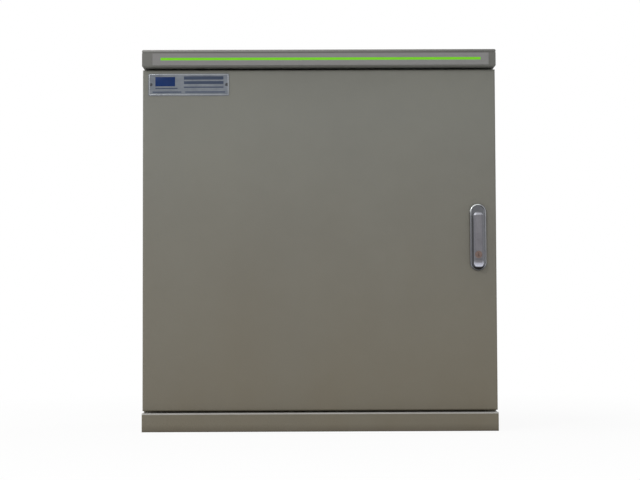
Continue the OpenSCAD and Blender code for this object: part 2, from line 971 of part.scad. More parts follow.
module keeper(x, zs)
    difference() {
        span_box(
            [x - rod_w / 2 - keeper_wall, x + rod_w / 2 + keeper_wall],
            [y_door + rod_front - keeper_wall, y_flange],
            zs
        );
        rod_passage(x, zs);
    }

module upper_keeper()
    color(zinc) keeper(x_handle + rod_shift, [z_open[1] + sheet_t, z_open[1] + sheet_t + keeper_t]);

module lower_keeper()
    color(zinc) keeper(x_handle - rod_shift, [z_open[0] - sheet_t - keeper_t, z_open[0] - sheet_t]);

// Hinges

knuckle_len = hinge_len * knuckle_share;
frame_knuckles = [
    [-hinge_len / 2, -hinge_len / 2 + knuckle_len],
    [hinge_len / 2 - knuckle_len, hinge_len / 2]
];

module knuckle(z, zs)
    translate([x_hinge, y_hinge, z])
        along_z(zs)
            circle(knuckle_r);

module hinge_bore(z)
    translate([x_hinge, y_hinge, z])
        along_z([-hinge_len, hinge_len])
            circle(hinge_pin_r + run_clear);

// Leaf on the lip's outer face, with the two end knuckles
module frame_leaf(z)
    difference() {
        union() {
            span_box(
                [-x_lip - leaf_t, -x_lip],
                [y_lip, y_hinge + leaf_tail],
                [z - hinge_len / 2, z + hinge_len / 2]
            );
            for (zs = frame_knuckles) {
                knuckle(z, zs);
                span_box(
                    [x_hinge, -x_lip - leaf_t / 2],
                    [y_hinge - leaf_arm / 2, y_hinge + leaf_arm / 2],
                    [z + zs[0], z + zs[1]]
                );
            }
        }
        hinge_bore(z);
    }

// Leaf on the door's side fold, with the middle knuckle
module door_leaf(z) {
    zs = [-hinge_len / 2 + knuckle_len + hinge_play, hinge_len / 2 - knuckle_len - hinge_play];
    difference() {
        union() {
            span_box(
                [-x_body + door_t, -x_body + door_t + leaf_t],
                [y_skin + leaf_t, y_hinge + leaf_t],
                [z - hinge_len / 2, z + hinge_len / 2]
            );
            knuckle(z, zs);
            span_box(
                [-x_body + door_t + leaf_t / 2, x_hinge],
                [y_hinge - leaf_arm / 2, y_hinge + leaf_t],
                [z + zs[0], z + zs[1]]
            );
        }
        hinge_bore(z);
    }
}

module hinge_pin(z)
    translate([x_hinge, y_hinge, z]) {
        along_z([-hinge_len / 2 - pin_head_h, hinge_len / 2 + pin_head_h])
            circle(hinge_pin_r);
        along_z([hinge_len / 2, hinge_len / 2 + pin_head_h])
            circle(knuckle_r);
    }

module upper_hinge_frame_leaf() color(zinc) frame_leaf(hinge_zs[1]);

module lower_hinge_frame_leaf() color(zinc) frame_leaf(hinge_zs[0]);

module upper_hinge_door_leaf() color(zinc) door_leaf(hinge_zs[1]);

module lower_hinge_door_leaf() color(zinc) door_leaf(hinge_zs[0]);

module upper_hinge_pin() color(satin) hinge_pin(hinge_zs[1]);

module lower_hinge_pin() color(satin) hinge_pin(hinge_zs[0]);

// Door

rivet_xs = [x_nameplate + rivet_inset, x_nameplate + nameplate_w - rivet_inset];
rivet_z = z_nameplate + nameplate_h / 2;

module rivet_holes()
    for (x = rivet_xs)
        out_pin(x, rivet_z, rivet_r + run_clear, -overrun, overrun);

// Holes in the door, the gasket and the clamp for the boss of the dish and its screws
module handle_holes() {
    out_pin(x_handle, z_axis, boss_r + loose_clear, -2 * overrun, overrun);
    for (drop = clamp_drops)
        out_pin(x_handle, z_axis - drop, clamp_boss_r + loose_clear, -overrun, overrun);
}

module door_panel()
    color(paint) difference() {
        pan([-x_body, x_body], [y_door, y_door_back], [z_door, z_roof], door_t);
        rivet_holes();
        handle_holes();
    }

// Foam seal on the door's inner face, opposite the lip
module door_seal()
    color(rubber) {
        x_mid = x_lip - sheet_t / 2;
        z_mids = [z_floor + lip_offset + sheet_t / 2, z_roof - lip_offset - sheet_t / 2];
        difference() {
            span_box(
                [-x_mid - seal_w / 2, x_mid + seal_w / 2],
                [y_skin, y_skin + seal_t],
                [z_mids[0] - seal_w / 2, z_mids[1] + seal_w / 2]
            );
            span_box(
                [-x_mid + seal_w / 2, x_mid - seal_w / 2],
                [y_skin - overrun, y_skin + seal_t + overrun],
                [z_mids[0] + seal_w / 2, z_mids[1] - seal_w / 2]
            );
        }
    }

stiffener_zs = [z_door + stiffener_margin, z_roof - stiffener_margin];
stiffener_mid = (stiffener_zs[0] + stiffener_zs[1]) / 2;
stiffener_holes = floor((stiffener_zs[1] - stiffener_zs[0] - stiffener_pitch) / stiffener_pitch);

// Hat-section stiffener on the door's inner face
module door_stiffener(x)
    translate([x, 0, 0])
        difference() {
            along_z(stiffener_zs)
                difference() {
                    union() {
                        span_rect([-stiffener_w / 2, stiffener_w / 2], [y_skin, y_skin + stiffener_d]);
                        span_rect(
                            [-stiffener_w / 2 - stiffener_brim, stiffener_w / 2 + stiffener_brim],
                            [y_skin, y_skin + stiffener_t]
                        );
                    }
                    span_rect(
                        [-stiffener_w / 2 + stiffener_t, stiffener_w / 2 - stiffener_t],
                        [y_skin - overrun, y_skin + stiffener_d - stiffener_t]
                    );
                }
            for (i = [0:stiffener_holes - 1])
                out_pin(
                    0,
                    stiffener_mid + (i - (stiffener_holes - 1) / 2) * stiffener_pitch,
                    stiffener_hole_r,
                    -door_t - stiffener_d - overrun,
                    -door_t - stiffener_d / 2
                );
        }

module left_door_stiffener() color(paint) door_stiffener(-stiffener_x);

module right_door_stiffener() color(paint) door_stiffener(stiffener_x);

module nameplate()
    color(satin) difference() {
        out_of_door(0, nameplate_t)
            round_rect(
                [x_nameplate, x_nameplate + nameplate_w],
                [z_nameplate, z_nameplate + nameplate_h],
                nameplate_r,
                nameplate_r
            );
        rivet_holes();
    }

module nameplate_rivets()
    color(zinc) for (x = rivet_xs) {
        out_pin(x, rivet_z, rivet_r, -door_t, nameplate_t);
        out_pin(x, rivet_z, rivet_head_r, nameplate_t, nameplate_t + rivet_head_h);
    }

// Handle

module handle_gasket()
    color(rubber) difference() {
        out_of_door(0, dish_gasket_t) dish_outline(rim_w / 2);
        handle_holes();
    }

// Section of the rim, from the middle line of the straight sides outwards
module rim_section()
    translate([dish_w / 2 - rim_w / 2, rim_top - rim_w / 2])
        union() {
            circle(rim_w / 2);
            span_rect([-rim_w / 2, rim_w / 2], [-rim_h + rim_w / 2, 0]);
        }

// The rim runs straight along both sides and turns half a circle at each end
module dish_rim() {
    half_run = (dish_len - dish_w) / 2;
    for (end = [-1, 1])
        translate([x_handle, y_door, z_dish + end * half_run])
            rotate([90, 0, 0])
                rotate(90 - end * 90)
                    rotate_extrude(angle = 180)
                        rim_section();
    for (side = [0, 1])
        translate([x_handle, y_door, z_dish])
            mirror([side, 0, 0])
                along_z([-half_run, half_run])
                    mirror([0, 1, 0])
                        rim_section();
}

module handle_dish()
    color(satin) difference() {
        union() {
            out_of_door(dish_gasket_t, dish_floor) dish_outline(rim_w / 2);
            dish_rim();
            out_pin(x_handle, z_axis, boss_r, -boss_back, dish_floor);
            for (drop = clamp_drops)
                out_pin(x_handle, z_axis - drop, clamp_boss_r, -door_t, dish_floor);
        }
        out_pin(x_handle, z_axis, shaft_r + run_clear, -boss_back - overrun, dish_floor + overrun);
        for (drop = clamp_drops)
            out_pin(x_handle, z_axis - drop, clamp_screw_r + run_clear, -door_t - overrun, clamp_bite);
    }

module handle_clamp()
    color(zinc) difference() {
        out_of_door(-door_t - clamp_t, -door_t)
            translate([x_handle, z_axis - clamp_drops[1] / 2])
                rotate(90)
                    slot(clamp_drops[1] + clamp_w + boss_r, clamp_w);
        out_pin(x_handle, z_axis, boss_r + loose_clear, -2 * overrun, overrun);
        for (drop = clamp_drops)
            out_pin(x_handle, z_axis - drop, clamp_screw_r + loose_clear, -2 * overrun, overrun);
    }

module handle_screws()
    color(zinc) for (drop = clamp_drops) {
        out_pin(x_handle, z_axis - drop, clamp_screw_r, -door_t - clamp_t, clamp_bite - loose_clear);
        out_pin(x_handle, z_axis - drop, clamp_head_r, -door_t - clamp_t - clamp_head_h, -door_t - clamp_t);
    }

module handle_spindle()
    color(satin) difference() {
        union() {
            out_pin(x_handle, z_axis, rotor_r, dish_floor + rotor_gap, dish_floor + rotor_t);
            out_pin(x_handle, z_axis, shaft_r, -cam_front, dish_floor + rotor_t);
            out_of_door(-cam_back, -cam_front)
                translate([x_handle, z_axis])
                    square(square_w, center = true);
            along_x([x_handle - lug_w / 2, x_handle + lug_w / 2])
                translate([y_door - tilt_pin_out, z_axis]) {
                    circle(lug_r);
                    span_rect([0, tilt_pin_out - dish_floor - rotor_gap], [-lug_r, lug_r]);
                }
        }
        tilt_bore();
    }

module tilt_bore()
    along_x([x_handle - lever_w, x_handle + lever_w])
        translate([y_door - tilt_pin_out, z_axis])
            circle(tilt_pin_r + run_clear);

module lever_pin()
    color(zinc) along_x([x_handle - lever_w / 2 + lever_gap, x_handle + lever_w / 2 - lever_gap])
        translate([y_door - tilt_pin_out, z_axis])
            circle(tilt_pin_r);

module lever_outline()
    translate([x_handle, z_axis]) {
        circle(lever_w / 2);
        round_rect([-lever_w / 2, lever_w / 2], [-lever_reach, 0], lever_corner_r);
    }

// Side of the lever, as (distance out of the door, height over the spindle)
module lever_side()
    difference() {
        union() {
            span_rect([lever_back, lever_front], [-lever_reach, lever_w / 2]);
            span_rect([lever_back, lever_front + lever_lip], [-lever_reach, -lever_scoop]);
        }
        translate([lever_front - scoop_d + scoop_r, -lever_scoop])
            circle(scoop_r);
        polygon([
            [lever_back, lug_r],
            [lever_front - lever_bevel_d - lever_nose_t, lever_w / 2],
            [lever_front - lever_bevel_d - lever_nose_t, lever_w / 2 + overrun],
            [lever_back - overrun, lever_w / 2 + overrun],
            [lever_back - overrun, lug_r]
        ]);
    }

// Section of the cut that bevels the lever's front edge, from its middle line outwards
module bevel_section()
    polygon([
        [lever_w / 2 - 2 * lever_bevel_w, lever_front + lever_bevel_d],
        [lever_w / 2 + lever_bevel_w, lever_front - 2 * lever_bevel_d],
        [lever_w / 2 + lever_bevel_w, lever_front + lever_bevel_d]
    ]);

// The bevel runs up both sides of the lever and round its upper end
module lever_bevel()
    translate([x_handle, y_door, z_axis]) {
        rotate([90, 0, 0])
            rotate_extrude(angle = 180)
                bevel_section();
        for (side = [0, 1])
            mirror([side, 0, 0])
                along_z([-lever_scoop, 0])
                    mirror([0, 1, 0])
                        bevel_section();
    }

module handle_lever()
    color(satin) difference() {
        intersection() {
            out_of_door(lever_back, lever_front + lever_lip) lever_outline();
            along_x([x_handle - lever_w / 2, x_handle + lever_w / 2])
                translate([y_door, z_axis])
                    mirror([1, 0, 0])
                        lever_side();
            along_z([z_axis - lever_reach, z_axis + lever_w / 2])
                round_rect(
                    [x_handle - lever_w / 2, x_handle + lever_w / 2],
                    [y_door - lever_front - lever_lip, y_door - lever_back],
                    lever_lip * lip_edge_share
                );
        }
        lever_bevel();
        span_box(
            [x_handle - lug_w / 2 - loose_clear, x_handle + lug_w / 2 + loose_clear],
            [y_door - tilt_pin_out - lug_r - loose_clear, y_door],
            [z_axis - lug_r - loose_clear, z_axis + lug_r + loose_clear]
        );
        span_box(
            [x_handle - lug_w / 2 - loose_clear, x_handle + lug_w / 2 + loose_clear],
            [y_door - tilt_pin_out - lug_swing, y_door],
            [z_axis, z_axis + lever_w]
        );
        tilt_bore();
        out_pin(x_handle, z_axis - lock_drop, lock_r + run_clear, 0, lever_front + overrun);
    }

module lock_cylinder()
    color(brass) difference() {
        out_pin(x_handle, z_axis - lock_drop, lock_r, lever_back, lever_front - lock_recess);
        out_of_door(lever_front - lock_recess - keyway_d, lever_front + overrun)
            translate([x_handle, z_axis - lock_drop])
                square([keyway_w, keyway_len], center = true);
    }

// Latch

module each_cam_pin()
    for (turn = [0, 180])
        translate([x_handle, 0, z_axis])
            rotate([0, turn - cam_angle, 0])
                translate([crank_r, 0, 0])
                    children();

module lock_cam()
    color(zinc) {
        difference() {
            union() {
                out_of_door(-cam_back, -cam_front)
                    translate([x_handle, z_axis])
                        rotate(cam_angle)
                            slot(2 * crank_r + 2 * cam_eye_r, 2 * cam_eye_r);
                out_pin(x_handle, z_axis, square_w, -cam_back, -cam_front);
            }
            out_of_door(-cam_back - overrun, -cam_front + overrun)
                translate([x_handle, z_axis])
                    square(square_w + 2 * run_clear, center = true);
        }
        each_cam_pin() {
            out_pin(0, 0, cam_pin_r, -rod_back - loose_clear - cam_head_t, -cam_back);
            out_pin(0, 0, cam_head_r, -rod_back - loose_clear - cam_head_t, -rod_back - loose_clear);
        }
    }

// Flat rod over the cam, with a cross slot for the cam's pin and a tapered tip
module rod_shape(reach) {
    tip = rod_w / 2 * rod_tip_share;
    difference() {
        union() {
            span_rect(
                [rod_slot[0] - rod_wall, rod_slot[1] + rod_wall],
                [crank_z - rod_slot_h - rod_eye_wall, crank_z + rod_slot_h + rod_eye_wall]
            );
            translate([rod_shift, 0])
                polygon([
                    [-rod_w / 2, crank_z],
                    [rod_w / 2, crank_z],
                    [rod_w / 2, reach - rod_taper],
                    [tip, reach],
                    [-tip, reach],
                    [-rod_w / 2, reach - rod_taper]
                ]);
        }
        span_rect(rod_slot, [crank_z - rod_slot_h, crank_z + rod_slot_h]);
    }
}

module upper_rod()
    color(zinc) out_of_door(-rod_back, -rod_front)
        translate([x_handle, z_axis])
            rod_shape(z_open[1] - rod_stop - z_axis);

module lower_rod()
    color(zinc) out_of_door(-rod_back, -rod_front)
        translate([x_handle, z_axis])
            rotate(180)
                rod_shape(z_axis - z_open[0] - rod_stop);

// Guide that carries a rod at its free end, on a stem from the door skin
module rod_guide(x, z)
    difference() {
        union() {
            span_box(
                [x - guide_stem / 2, x + guide_stem / 2],
                [y_skin, y_door + guide_shoulder],
                [z - guide_h / 2, z + guide_h / 2]
            );
            span_box(
                [x - rod_w / 2 - loose_clear - guide_wall, x + rod_w / 2 + loose_clear + guide_wall],
                [y_door + guide_shoulder, y_door + rod_back + loose_clear + guide_wall],
                [z - guide_h / 2, z + guide_h / 2]
            );
        }
        rod_passage(x, [z - guide_h / 2, z + guide_h / 2]);
    }

module upper_rod_guide() color(nylon) rod_guide(x_handle + rod_shift, z_roof - guide_end);

module lower_rod_guide() color(nylon) rod_guide(x_handle - rod_shift, z_floor + guide_end);

plinth_front_rail();
plinth_rear_rail();
plinth_left_rail();
plinth_right_rail();
plinth_bolts();
floor_pan();
left_side_panel();
right_side_panel();
rear_panel();
rear_panel_screws();
roof_deck();
hood();
hood_bracket_left();
hood_bracket_right();
hood_bolts();
fascia_strip();
accent_strip();
gland_plate();
gland_gasket();
gland_plate_screws();
cable_grommets();
upper_filters();
lower_filters();
mounting_plate();
mounting_studs();
mounting_nuts();
upper_rail();
lower_rail();
rail_screws();
earth_bar();
earth_bar_screws();
upper_keeper();
lower_keeper();
upper_hinge_frame_leaf();
lower_hinge_frame_leaf();
upper_hinge_pin();
lower_hinge_pin();
door_panel();
door_seal();
left_door_stiffener();
right_door_stiffener();
upper_hinge_door_leaf();
lower_hinge_door_leaf();
nameplate();
nameplate_rivets();
handle_gasket();
handle_dish();
handle_clamp();
handle_screws();
upper_rod_guide();
lower_rod_guide();
handle_spindle();
lever_pin();
lock_cam();
handle_lever();
lock_cylinder();
upper_rod();
lower_rod();
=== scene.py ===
"""Looks of the roadside utility cabinet: its finishes, its fine pieces, a camera and soft light.

Metres, in the part's own frame: the door faces -Y and +Z is up.
"""

import math

import bmesh
import bpy
from mathutils import Matrix, Vector, noise


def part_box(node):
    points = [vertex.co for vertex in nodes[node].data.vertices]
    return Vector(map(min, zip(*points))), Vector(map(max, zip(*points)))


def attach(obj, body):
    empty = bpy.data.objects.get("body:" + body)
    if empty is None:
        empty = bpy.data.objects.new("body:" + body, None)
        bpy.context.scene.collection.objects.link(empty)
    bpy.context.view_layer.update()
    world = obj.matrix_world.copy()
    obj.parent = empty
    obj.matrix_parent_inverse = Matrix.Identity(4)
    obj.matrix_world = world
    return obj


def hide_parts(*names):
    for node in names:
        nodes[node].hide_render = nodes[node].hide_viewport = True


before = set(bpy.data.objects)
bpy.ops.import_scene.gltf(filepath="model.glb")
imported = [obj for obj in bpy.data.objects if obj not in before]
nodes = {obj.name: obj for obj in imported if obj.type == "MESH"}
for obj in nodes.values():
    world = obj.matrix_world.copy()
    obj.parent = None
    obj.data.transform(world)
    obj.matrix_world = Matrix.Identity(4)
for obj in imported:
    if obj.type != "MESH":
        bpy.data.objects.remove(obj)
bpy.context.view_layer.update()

MM = 0.001
QUARTER_TURN = math.radians(90)

# Colours, as 0 to 255 values on a screen; a pair is the dark and the light tone of one finish
PAINT = (115, 115, 108), (119, 119, 111)
PAINT_SPECK = (132, 132, 124)
ROAD_DUST = (108, 98, 78)
# Colour that the powder coat darkens to towards the ground
FOOT_DARKENING = (66, 58, 44)
# Painted highlight along rounded upper edges of the paint
PAINTED_EDGE_HIGHLIGHT = (178, 177, 174)
# Painted shade: the casing's paint made darker for the hood
SHADED_HOOD = (98, 98, 94), (105, 105, 101)
FASCIA = (120, 119, 118), (128, 127, 126)
GREEN = (116, 206, 28), (124, 216, 32)
SHEET = (160, 165, 170), (188, 192, 196)
PLATING = (164, 166, 164), (196, 198, 198)
RAIL = (192, 191, 180), (216, 215, 204)
LEVER = (86, 85, 89), (100, 99, 103)
# Painted highlights on the lever's sides, lip and head
PAINTED_SIDE_HIGHLIGHT = (109, 109, 114)
PAINTED_LIP_HIGHLIGHT = (194, 196, 210)
PAINTED_HEAD_HIGHLIGHT = (156, 157, 164)
DISH = (68, 69, 72), (86, 87, 90)
# Painted highlights on the dish's rim and on the latch side of its recess, and a painted glint on the
# rim's upper end
PAINTED_RIM_HIGHLIGHT = (130, 131, 135)
PAINTED_RECESS_LIGHT = (104, 105, 109)
PAINTED_RIM_GLINT = (192, 195, 196)
# Painted shade in the dish's recess, at the rim's foot and at the lever's toe
PAINTED_SHADE = (44, 43, 42)
PLATE = (86, 90, 97), (104, 108, 113)
PLATE_RIM = (126, 129, 133), (148, 150, 152)
RIVET = (62, 64, 68), (84, 86, 90)
SLATE = (58, 68, 88), (68, 78, 98)
BLUE = (16, 42, 92), (22, 50, 100)
# Brass darkened as painted shade
SHADED_LOCK = (80, 67, 63), (112, 96, 90)
EARTH_BAR = (160, 124, 66), (206, 172, 106)
RUBBER = (24, 24, 25), (40, 40, 41)
NYLON = (34, 34, 37), (52, 52, 55)
FLEECE = (184, 183, 172), (222, 221, 212)
FLOOR_WHITE = (240, 240, 239)


def linear(colour):
    """A screen colour as the linear colour that a shader takes."""
    shares = [value / 255 for value in colour]
    return (*[s / 12.92 if s <= 0.04045 else ((s + 0.055) / 1.055) ** 2.4 for s in shares], 1.0)


# Finishes

# How fast a grain changes along x, y and z: slowly along the way that it is drawn out
ALONG_X, ALONG_Z, EVEN = (0.02, 1, 1), (1, 1, 0.02), (1, 1, 1)
# Limits between which most values of a noise lie, and most sums of two noises
NOISE_LOW, NOISE_HIGH = 0.3, 0.7
SUM_LOW, SUM_HIGH = 0.7, 1.3
# Values of a noise at which a finish has its dark and its light tone
TONE_DARK, TONE_LIGHT = 0.35, 0.65


class Finish:
    """A material in the making, with short ways to add the nodes that it needs."""

    def __init__(self, name, **shader):
        self.material = bpy.data.materials.new(name)
        self.material.use_nodes = True
        self.tree = self.material.node_tree
        self.shader = self.tree.nodes["Principled BSDF"]
        for socket, value in shader.items():
            self.put(self.shader, socket.replace("_", " "), value)
        self.place = self.add("ShaderNodeTexCoord").outputs["Object"]

    def put(self, node, socket, value):
        """Links a node's socket to the value where that is a socket too, and else sets it."""
        if isinstance(value, bpy.types.NodeSocket):
            self.tree.links.new(value, node.inputs[socket])
        else:
            node.inputs[socket].default_value = value

    def add(self, kind, sockets=None, **settings):
        node = self.tree.nodes.new(kind)
        for name, value in settings.items():
            setattr(node, name, value)
        for socket, value in (sockets or {}).items():
            self.put(node, socket, value)
        return node

    def stretched(self, stretch):
        return self.add("ShaderNodeMapping", {"Vector": self.place, "Scale": stretch}).outputs["Vector"]

    def grain(self, per_metre, stretch=EVEN, detail=2.0):
        """Cloudy noise with about that many features in a metre; a low stretch draws it out."""
        sockets = {"Vector": self.stretched(stretch), "Scale": per_metre, "Detail": detail}
        return self.add("ShaderNodeTexNoise", sockets).outputs["Fac"]

    def crystals(self, per_metre):
        """One random value for each crystal of a plated sheet."""
        sockets = {"Vector": self.place, "Scale": per_metre}
        cells = self.add("ShaderNodeTexVoronoi", sockets).outputs["Color"]
        return self.add("ShaderNodeSeparateColor", {"Color": cells}).outputs["Red"]

    def along(self, axis):
        return self.add("ShaderNodeSeparateXYZ", {"Vector": self.place}).outputs[axis]

    def within(self, limits):
        """Share from 0 to 1: each limit is an axis, where it starts, and where it is full."""
        share = 1.0
        for axis, start, full in limits:
            share = self.join("MULTIPLY", share, self.span(self.along(axis), start, full, 0, 1))
        return share

    def span(self, value, start, end, low, high):
        """Value from start to end, carried over to low to high."""
        sockets = {"Value": value, "From Min": start, "From Max": end, "To Min": low, "To Max": high}
        return self.add("ShaderNodeMapRange", sockets).outputs["Result"]

    def join(self, operation, first, second):
        return self.add("ShaderNodeMath", {0: first, 1: second}, operation=operation).outputs[0]

    def blend(self, share, first, second):
        """Colour that is all first at a share of 0 and all second at 1."""
        sockets = {0: share, 6: first, 7: second}
        return self.add("ShaderNodeMix", sockets, data_type="RGBA").outputs[2]

    def tones(self, value, pair, start=TONE_DARK, end=TONE_LIGHT):
        """Colour from a pair's dark to its light tone, as value goes from start to end."""
        dark, light = pair
        return self.blend(self.span(value, start, end, 0, 1), linear(dark), linear(light))

    def emboss(self, heights, relief):
        sockets = {"Height": heights, "Distance": relief, "Strength": 1.0}
        self.put(self.shader, "Normal", self.add("ShaderNodeBump", sockets).outputs["Normal"])

    def colour(self, socket):
        self.put(self.shader, "Base Color", socket)

    def roughness(self, socket):
        self.put(self.shader, "Roughness", socket)


# Powder coat: features in a metre of its clouds, dust patches, gloss, orange peel and specks
COAT_CLOUDS, COAT_PATCHES, COAT_GLOSS, COAT_PEEL, COAT_SPECKS = 3.5, 9, 40, 420, 1300
COAT_SPECULAR, COAT_ROUGHNESS, COAT_RELIEF = 0.42, (0.44, 0.53), 0.1 * MM
SPECK_LIMITS, SPECK_SHARE, SPECK_RISE = (0.58, 0.78), 0.35, 0.5
PATCH_STRETCH, PATCH_SHARES = (1, 1, 0.4), (0.82, 1.0)
DUST_HEIGHT, DUST_SHARE = 620 * MM, 0.78
# Height over which the powder coat darkens towards the ground, and its share at the ground
FOOT_DARK_HEIGHT, FOOT_DARK_SHARE = 15 * MM, 0.6


def powder_coat(name, pair, dust_share, highlight_share=0.0, highlight_limits=()):
    """Fine-textured outdoor paint, with road dust that thickens towards the ground, and darker at its
    foot.

    It is painted pale within the limits that are given, as a painted highlight.
    """
    paint = Finish(name, Specular_IOR_Level=COAT_SPECULAR)
    specks = paint.grain(COAT_SPECKS)
    patches = paint.grain(COAT_PATCHES, PATCH_STRETCH, detail=5)
    patches = paint.span(patches, NOISE_LOW, NOISE_HIGH, *PATCH_SHARES)
    layers = [
        (paint.span(paint.along("Z"), 0, DUST_HEIGHT, dust_share, 0), ROAD_DUST),
        # Darker towards the ground
        (paint.span(paint.along("Z"), FOOT_DARK_HEIGHT, 0, 0, FOOT_DARK_SHARE), FOOT_DARKENING),
    ]
    # Painted highlight within the given limits
    if highlight_limits:
        layers.append((paint.span(paint.within(highlight_limits), 0, 1, 0, highlight_share), PAINTED_EDGE_HIGHLIGHT))
    tone = paint.tones(paint.grain(COAT_CLOUDS, detail=4), pair)
    tone = paint.blend(paint.span(specks, *SPECK_LIMITS, 0, SPECK_SHARE), tone, linear(PAINT_SPECK))
    for share, layer in layers:
        tone = paint.blend(paint.join("MULTIPLY", share, patches), tone, linear(layer))
    paint.colour(tone)
    gloss = paint.grain(COAT_GLOSS, detail=4)
    paint.roughness(paint.span(gloss, NOISE_LOW, NOISE_HIGH, *COAT_ROUGHNESS))
    peel = paint.grain(COAT_PEEL, detail=1)
    paint.emboss(paint.join("ADD", peel, paint.span(specks, 0, 1, 0, SPECK_RISE)), COAT_RELIEF)
    return paint.material


# Enamel: features in a metre of its clouds, gloss and orange peel
ENAMEL_CLOUDS, ENAMEL_GLOSS, ENAMEL_PEEL = 7, 90, 260
ENAMEL_STRETCH, ENAMEL_RELIEF = (0.3, 1, 1), 0.09 * MM


def smooth_paint(name, pair, roughness, specular):
    """Flat, even enamel with a trace of orange peel."""
    paint = Finish(name, Specular_IOR_Level=specular)
    paint.colour(paint.tones(paint.grain(ENAMEL_CLOUDS, ENAMEL_STRETCH, detail=4), pair))
    paint.roughness(paint.span(paint.grain(ENAMEL_GLOSS), NOISE_LOW, NOISE_HIGH, *roughness))
    paint.emboss(paint.grain(ENAMEL_PEEL, detail=1), ENAMEL_RELIEF)
    return paint.material


# Galvanised sheet: features in a metre of its spangle, smears and fine grain
SHEET_CRYSTALS, SHEET_SMEARS, SHEET_GRAIN = 70, 14, 600
SPANGLE_DARK, SPANGLE_LIGHT = 0.5, 1.5
SHEET_METALLIC, SHEET_ROUGHNESS, SHEET_RELIEF = 0.85, (0.34, 0.5), 0.03 * MM


def galvanised_sheet(name):
    """Sheet steel with the spangle of a zinc bath."""
    sheet = Finish(name, Metallic=SHEET_METALLIC)
    spangle = sheet.crystals(SHEET_CRYSTALS)
    smeared = sheet.join("ADD", spangle, sheet.grain(SHEET_SMEARS, detail=5))
    sheet.colour(sheet.tones(smeared, SHEET, SPANGLE_DARK, SPANGLE_LIGHT))
    sheet.roughness(sheet.span(spangle, 0, 1, *SHEET_ROUGHNESS))
    sheet.emboss(sheet.grain(SHEET_GRAIN), SHEET_RELIEF)
    return sheet.material


# Brushed metal: features in a metre of its hairlines and blotches
METAL_HAIRLINES, METAL_BLOTCHES, METAL_RELIEF = 2600, 60, 0.02 * MM


def brushed_metal(name, pair, stretch, roughness, metallic=1.0, painted_marks=()):
    """Metal with a fine grain drawn out along one axis.

    Painted highlights and painted shade lie on it: each of the painted marks is a colour, how much
    it takes off the roughness, and its limits.
    """
    metal = Finish(name, Metallic=metallic)
    hairlines = metal.grain(METAL_HAIRLINES, stretch, detail=3)
    blotched = metal.join("ADD", hairlines, metal.grain(METAL_BLOTCHES, detail=4))
    tone = metal.tones(blotched, pair, SUM_LOW, SUM_HIGH)
    matt = metal.span(hairlines, NOISE_LOW, NOISE_HIGH, *roughness)
    # Each mark is a painted highlight or painted shade
    for painted_colour, gloss, limits in painted_marks:
        share = metal.within(limits)
        tone = metal.blend(share, tone, linear(painted_colour))
        matt = metal.join("SUBTRACT", matt, metal.span(share, 0, 1, 0, gloss))
    metal.colour(tone)
    metal.roughness(matt)
    metal.emboss(hairlines, METAL_RELIEF)
    return metal.material


MOULD_CLOUDS, MOULD_SPECULAR = 120, 0.35


def moulded(name, pair, roughness, per_metre, relief):
    """Rubber, foam or plastic with a fine moulded grain."""
    skin = Finish(name, Specular_IOR_Level=MOULD_SPECULAR)
    fine = skin.grain(per_metre, detail=3)
    skin.colour(skin.tones(skin.grain(MOULD_CLOUDS, detail=4), pair))
    skin.roughness(skin.span(fine, NOISE_LOW, NOISE_HIGH, *roughness))
    skin.emboss(fine, relief)
    return skin.material


# Fleece: fibres in a metre, and how its two layers of fibres are drawn out
FLEECE_FIBRES, FLEECE_LAYERS, FLEECE_RELIEF = 900, ((1, 0.15, 0.3), (0.15, 1, 0.6)), 0.6 * MM


def fleece(name):
    """Matted fibres of an air filter."""
    mat = Finish(name, Specular_IOR_Level=0.15, Roughness=0.92, Sheen_Weight=0.3)
    layers = [mat.grain(FLEECE_FIBRES, stretch, detail=4) for stretch in FLEECE_LAYERS]
    fibres = mat.join("ADD", *layers)
    mat.colour(mat.tones(fibres, FLEECE, SUM_LOW, SUM_HIGH))
    mat.emboss(fibres, FLEECE_RELIEF)
    return mat.material


# Shares of the painted highlight along the step's and the hood's upper edges
STEP_HIGHLIGHT, HOOD_HIGHLIGHT = 0.95, 0.24


def step_paint():
    """Paint of the plinth's front rail, with a painted highlight along its upper edge."""
    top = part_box("plinth_front_rail")[1].z
    edge = ("Z", top - 2.7 * MM, top - 1.7 * MM)
    return powder_coat("step_paint", PAINT, DUST_SHARE, STEP_HIGHLIGHT, (edge,))


def shaded_hood_paint():
    """Hood paint darkened as painted shade, with a painted highlight along its upper front edge that is
    strongest on the hinge side.
    """
    low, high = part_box("hood")
    upper = ("Z", high.z - 6.5 * MM, high.z - 4 * MM)
    front = ("Y", low.y + 6 * MM, low.y + 3 * MM)
    hinge_side = ("X", high.x - 50 * MM, 0)
    return powder_coat("shaded_hood_paint", SHADED_HOOD, 0, HOOD_HIGHLIGHT, (upper, front, hinge_side))


# What each painted highlight and painted shade takes off the handle's roughness
HIGHLIGHT_GLOSS, SIDE_GLOSS, HEAD_GLOSS, NO_GLOSS, SHADE_GLOSS = 0.08, 0.04, -0.12, 0.0, -0.2
HANDLE_ROUGHNESS, HANDLE_METALLIC = (0.26, 0.4), 0.9


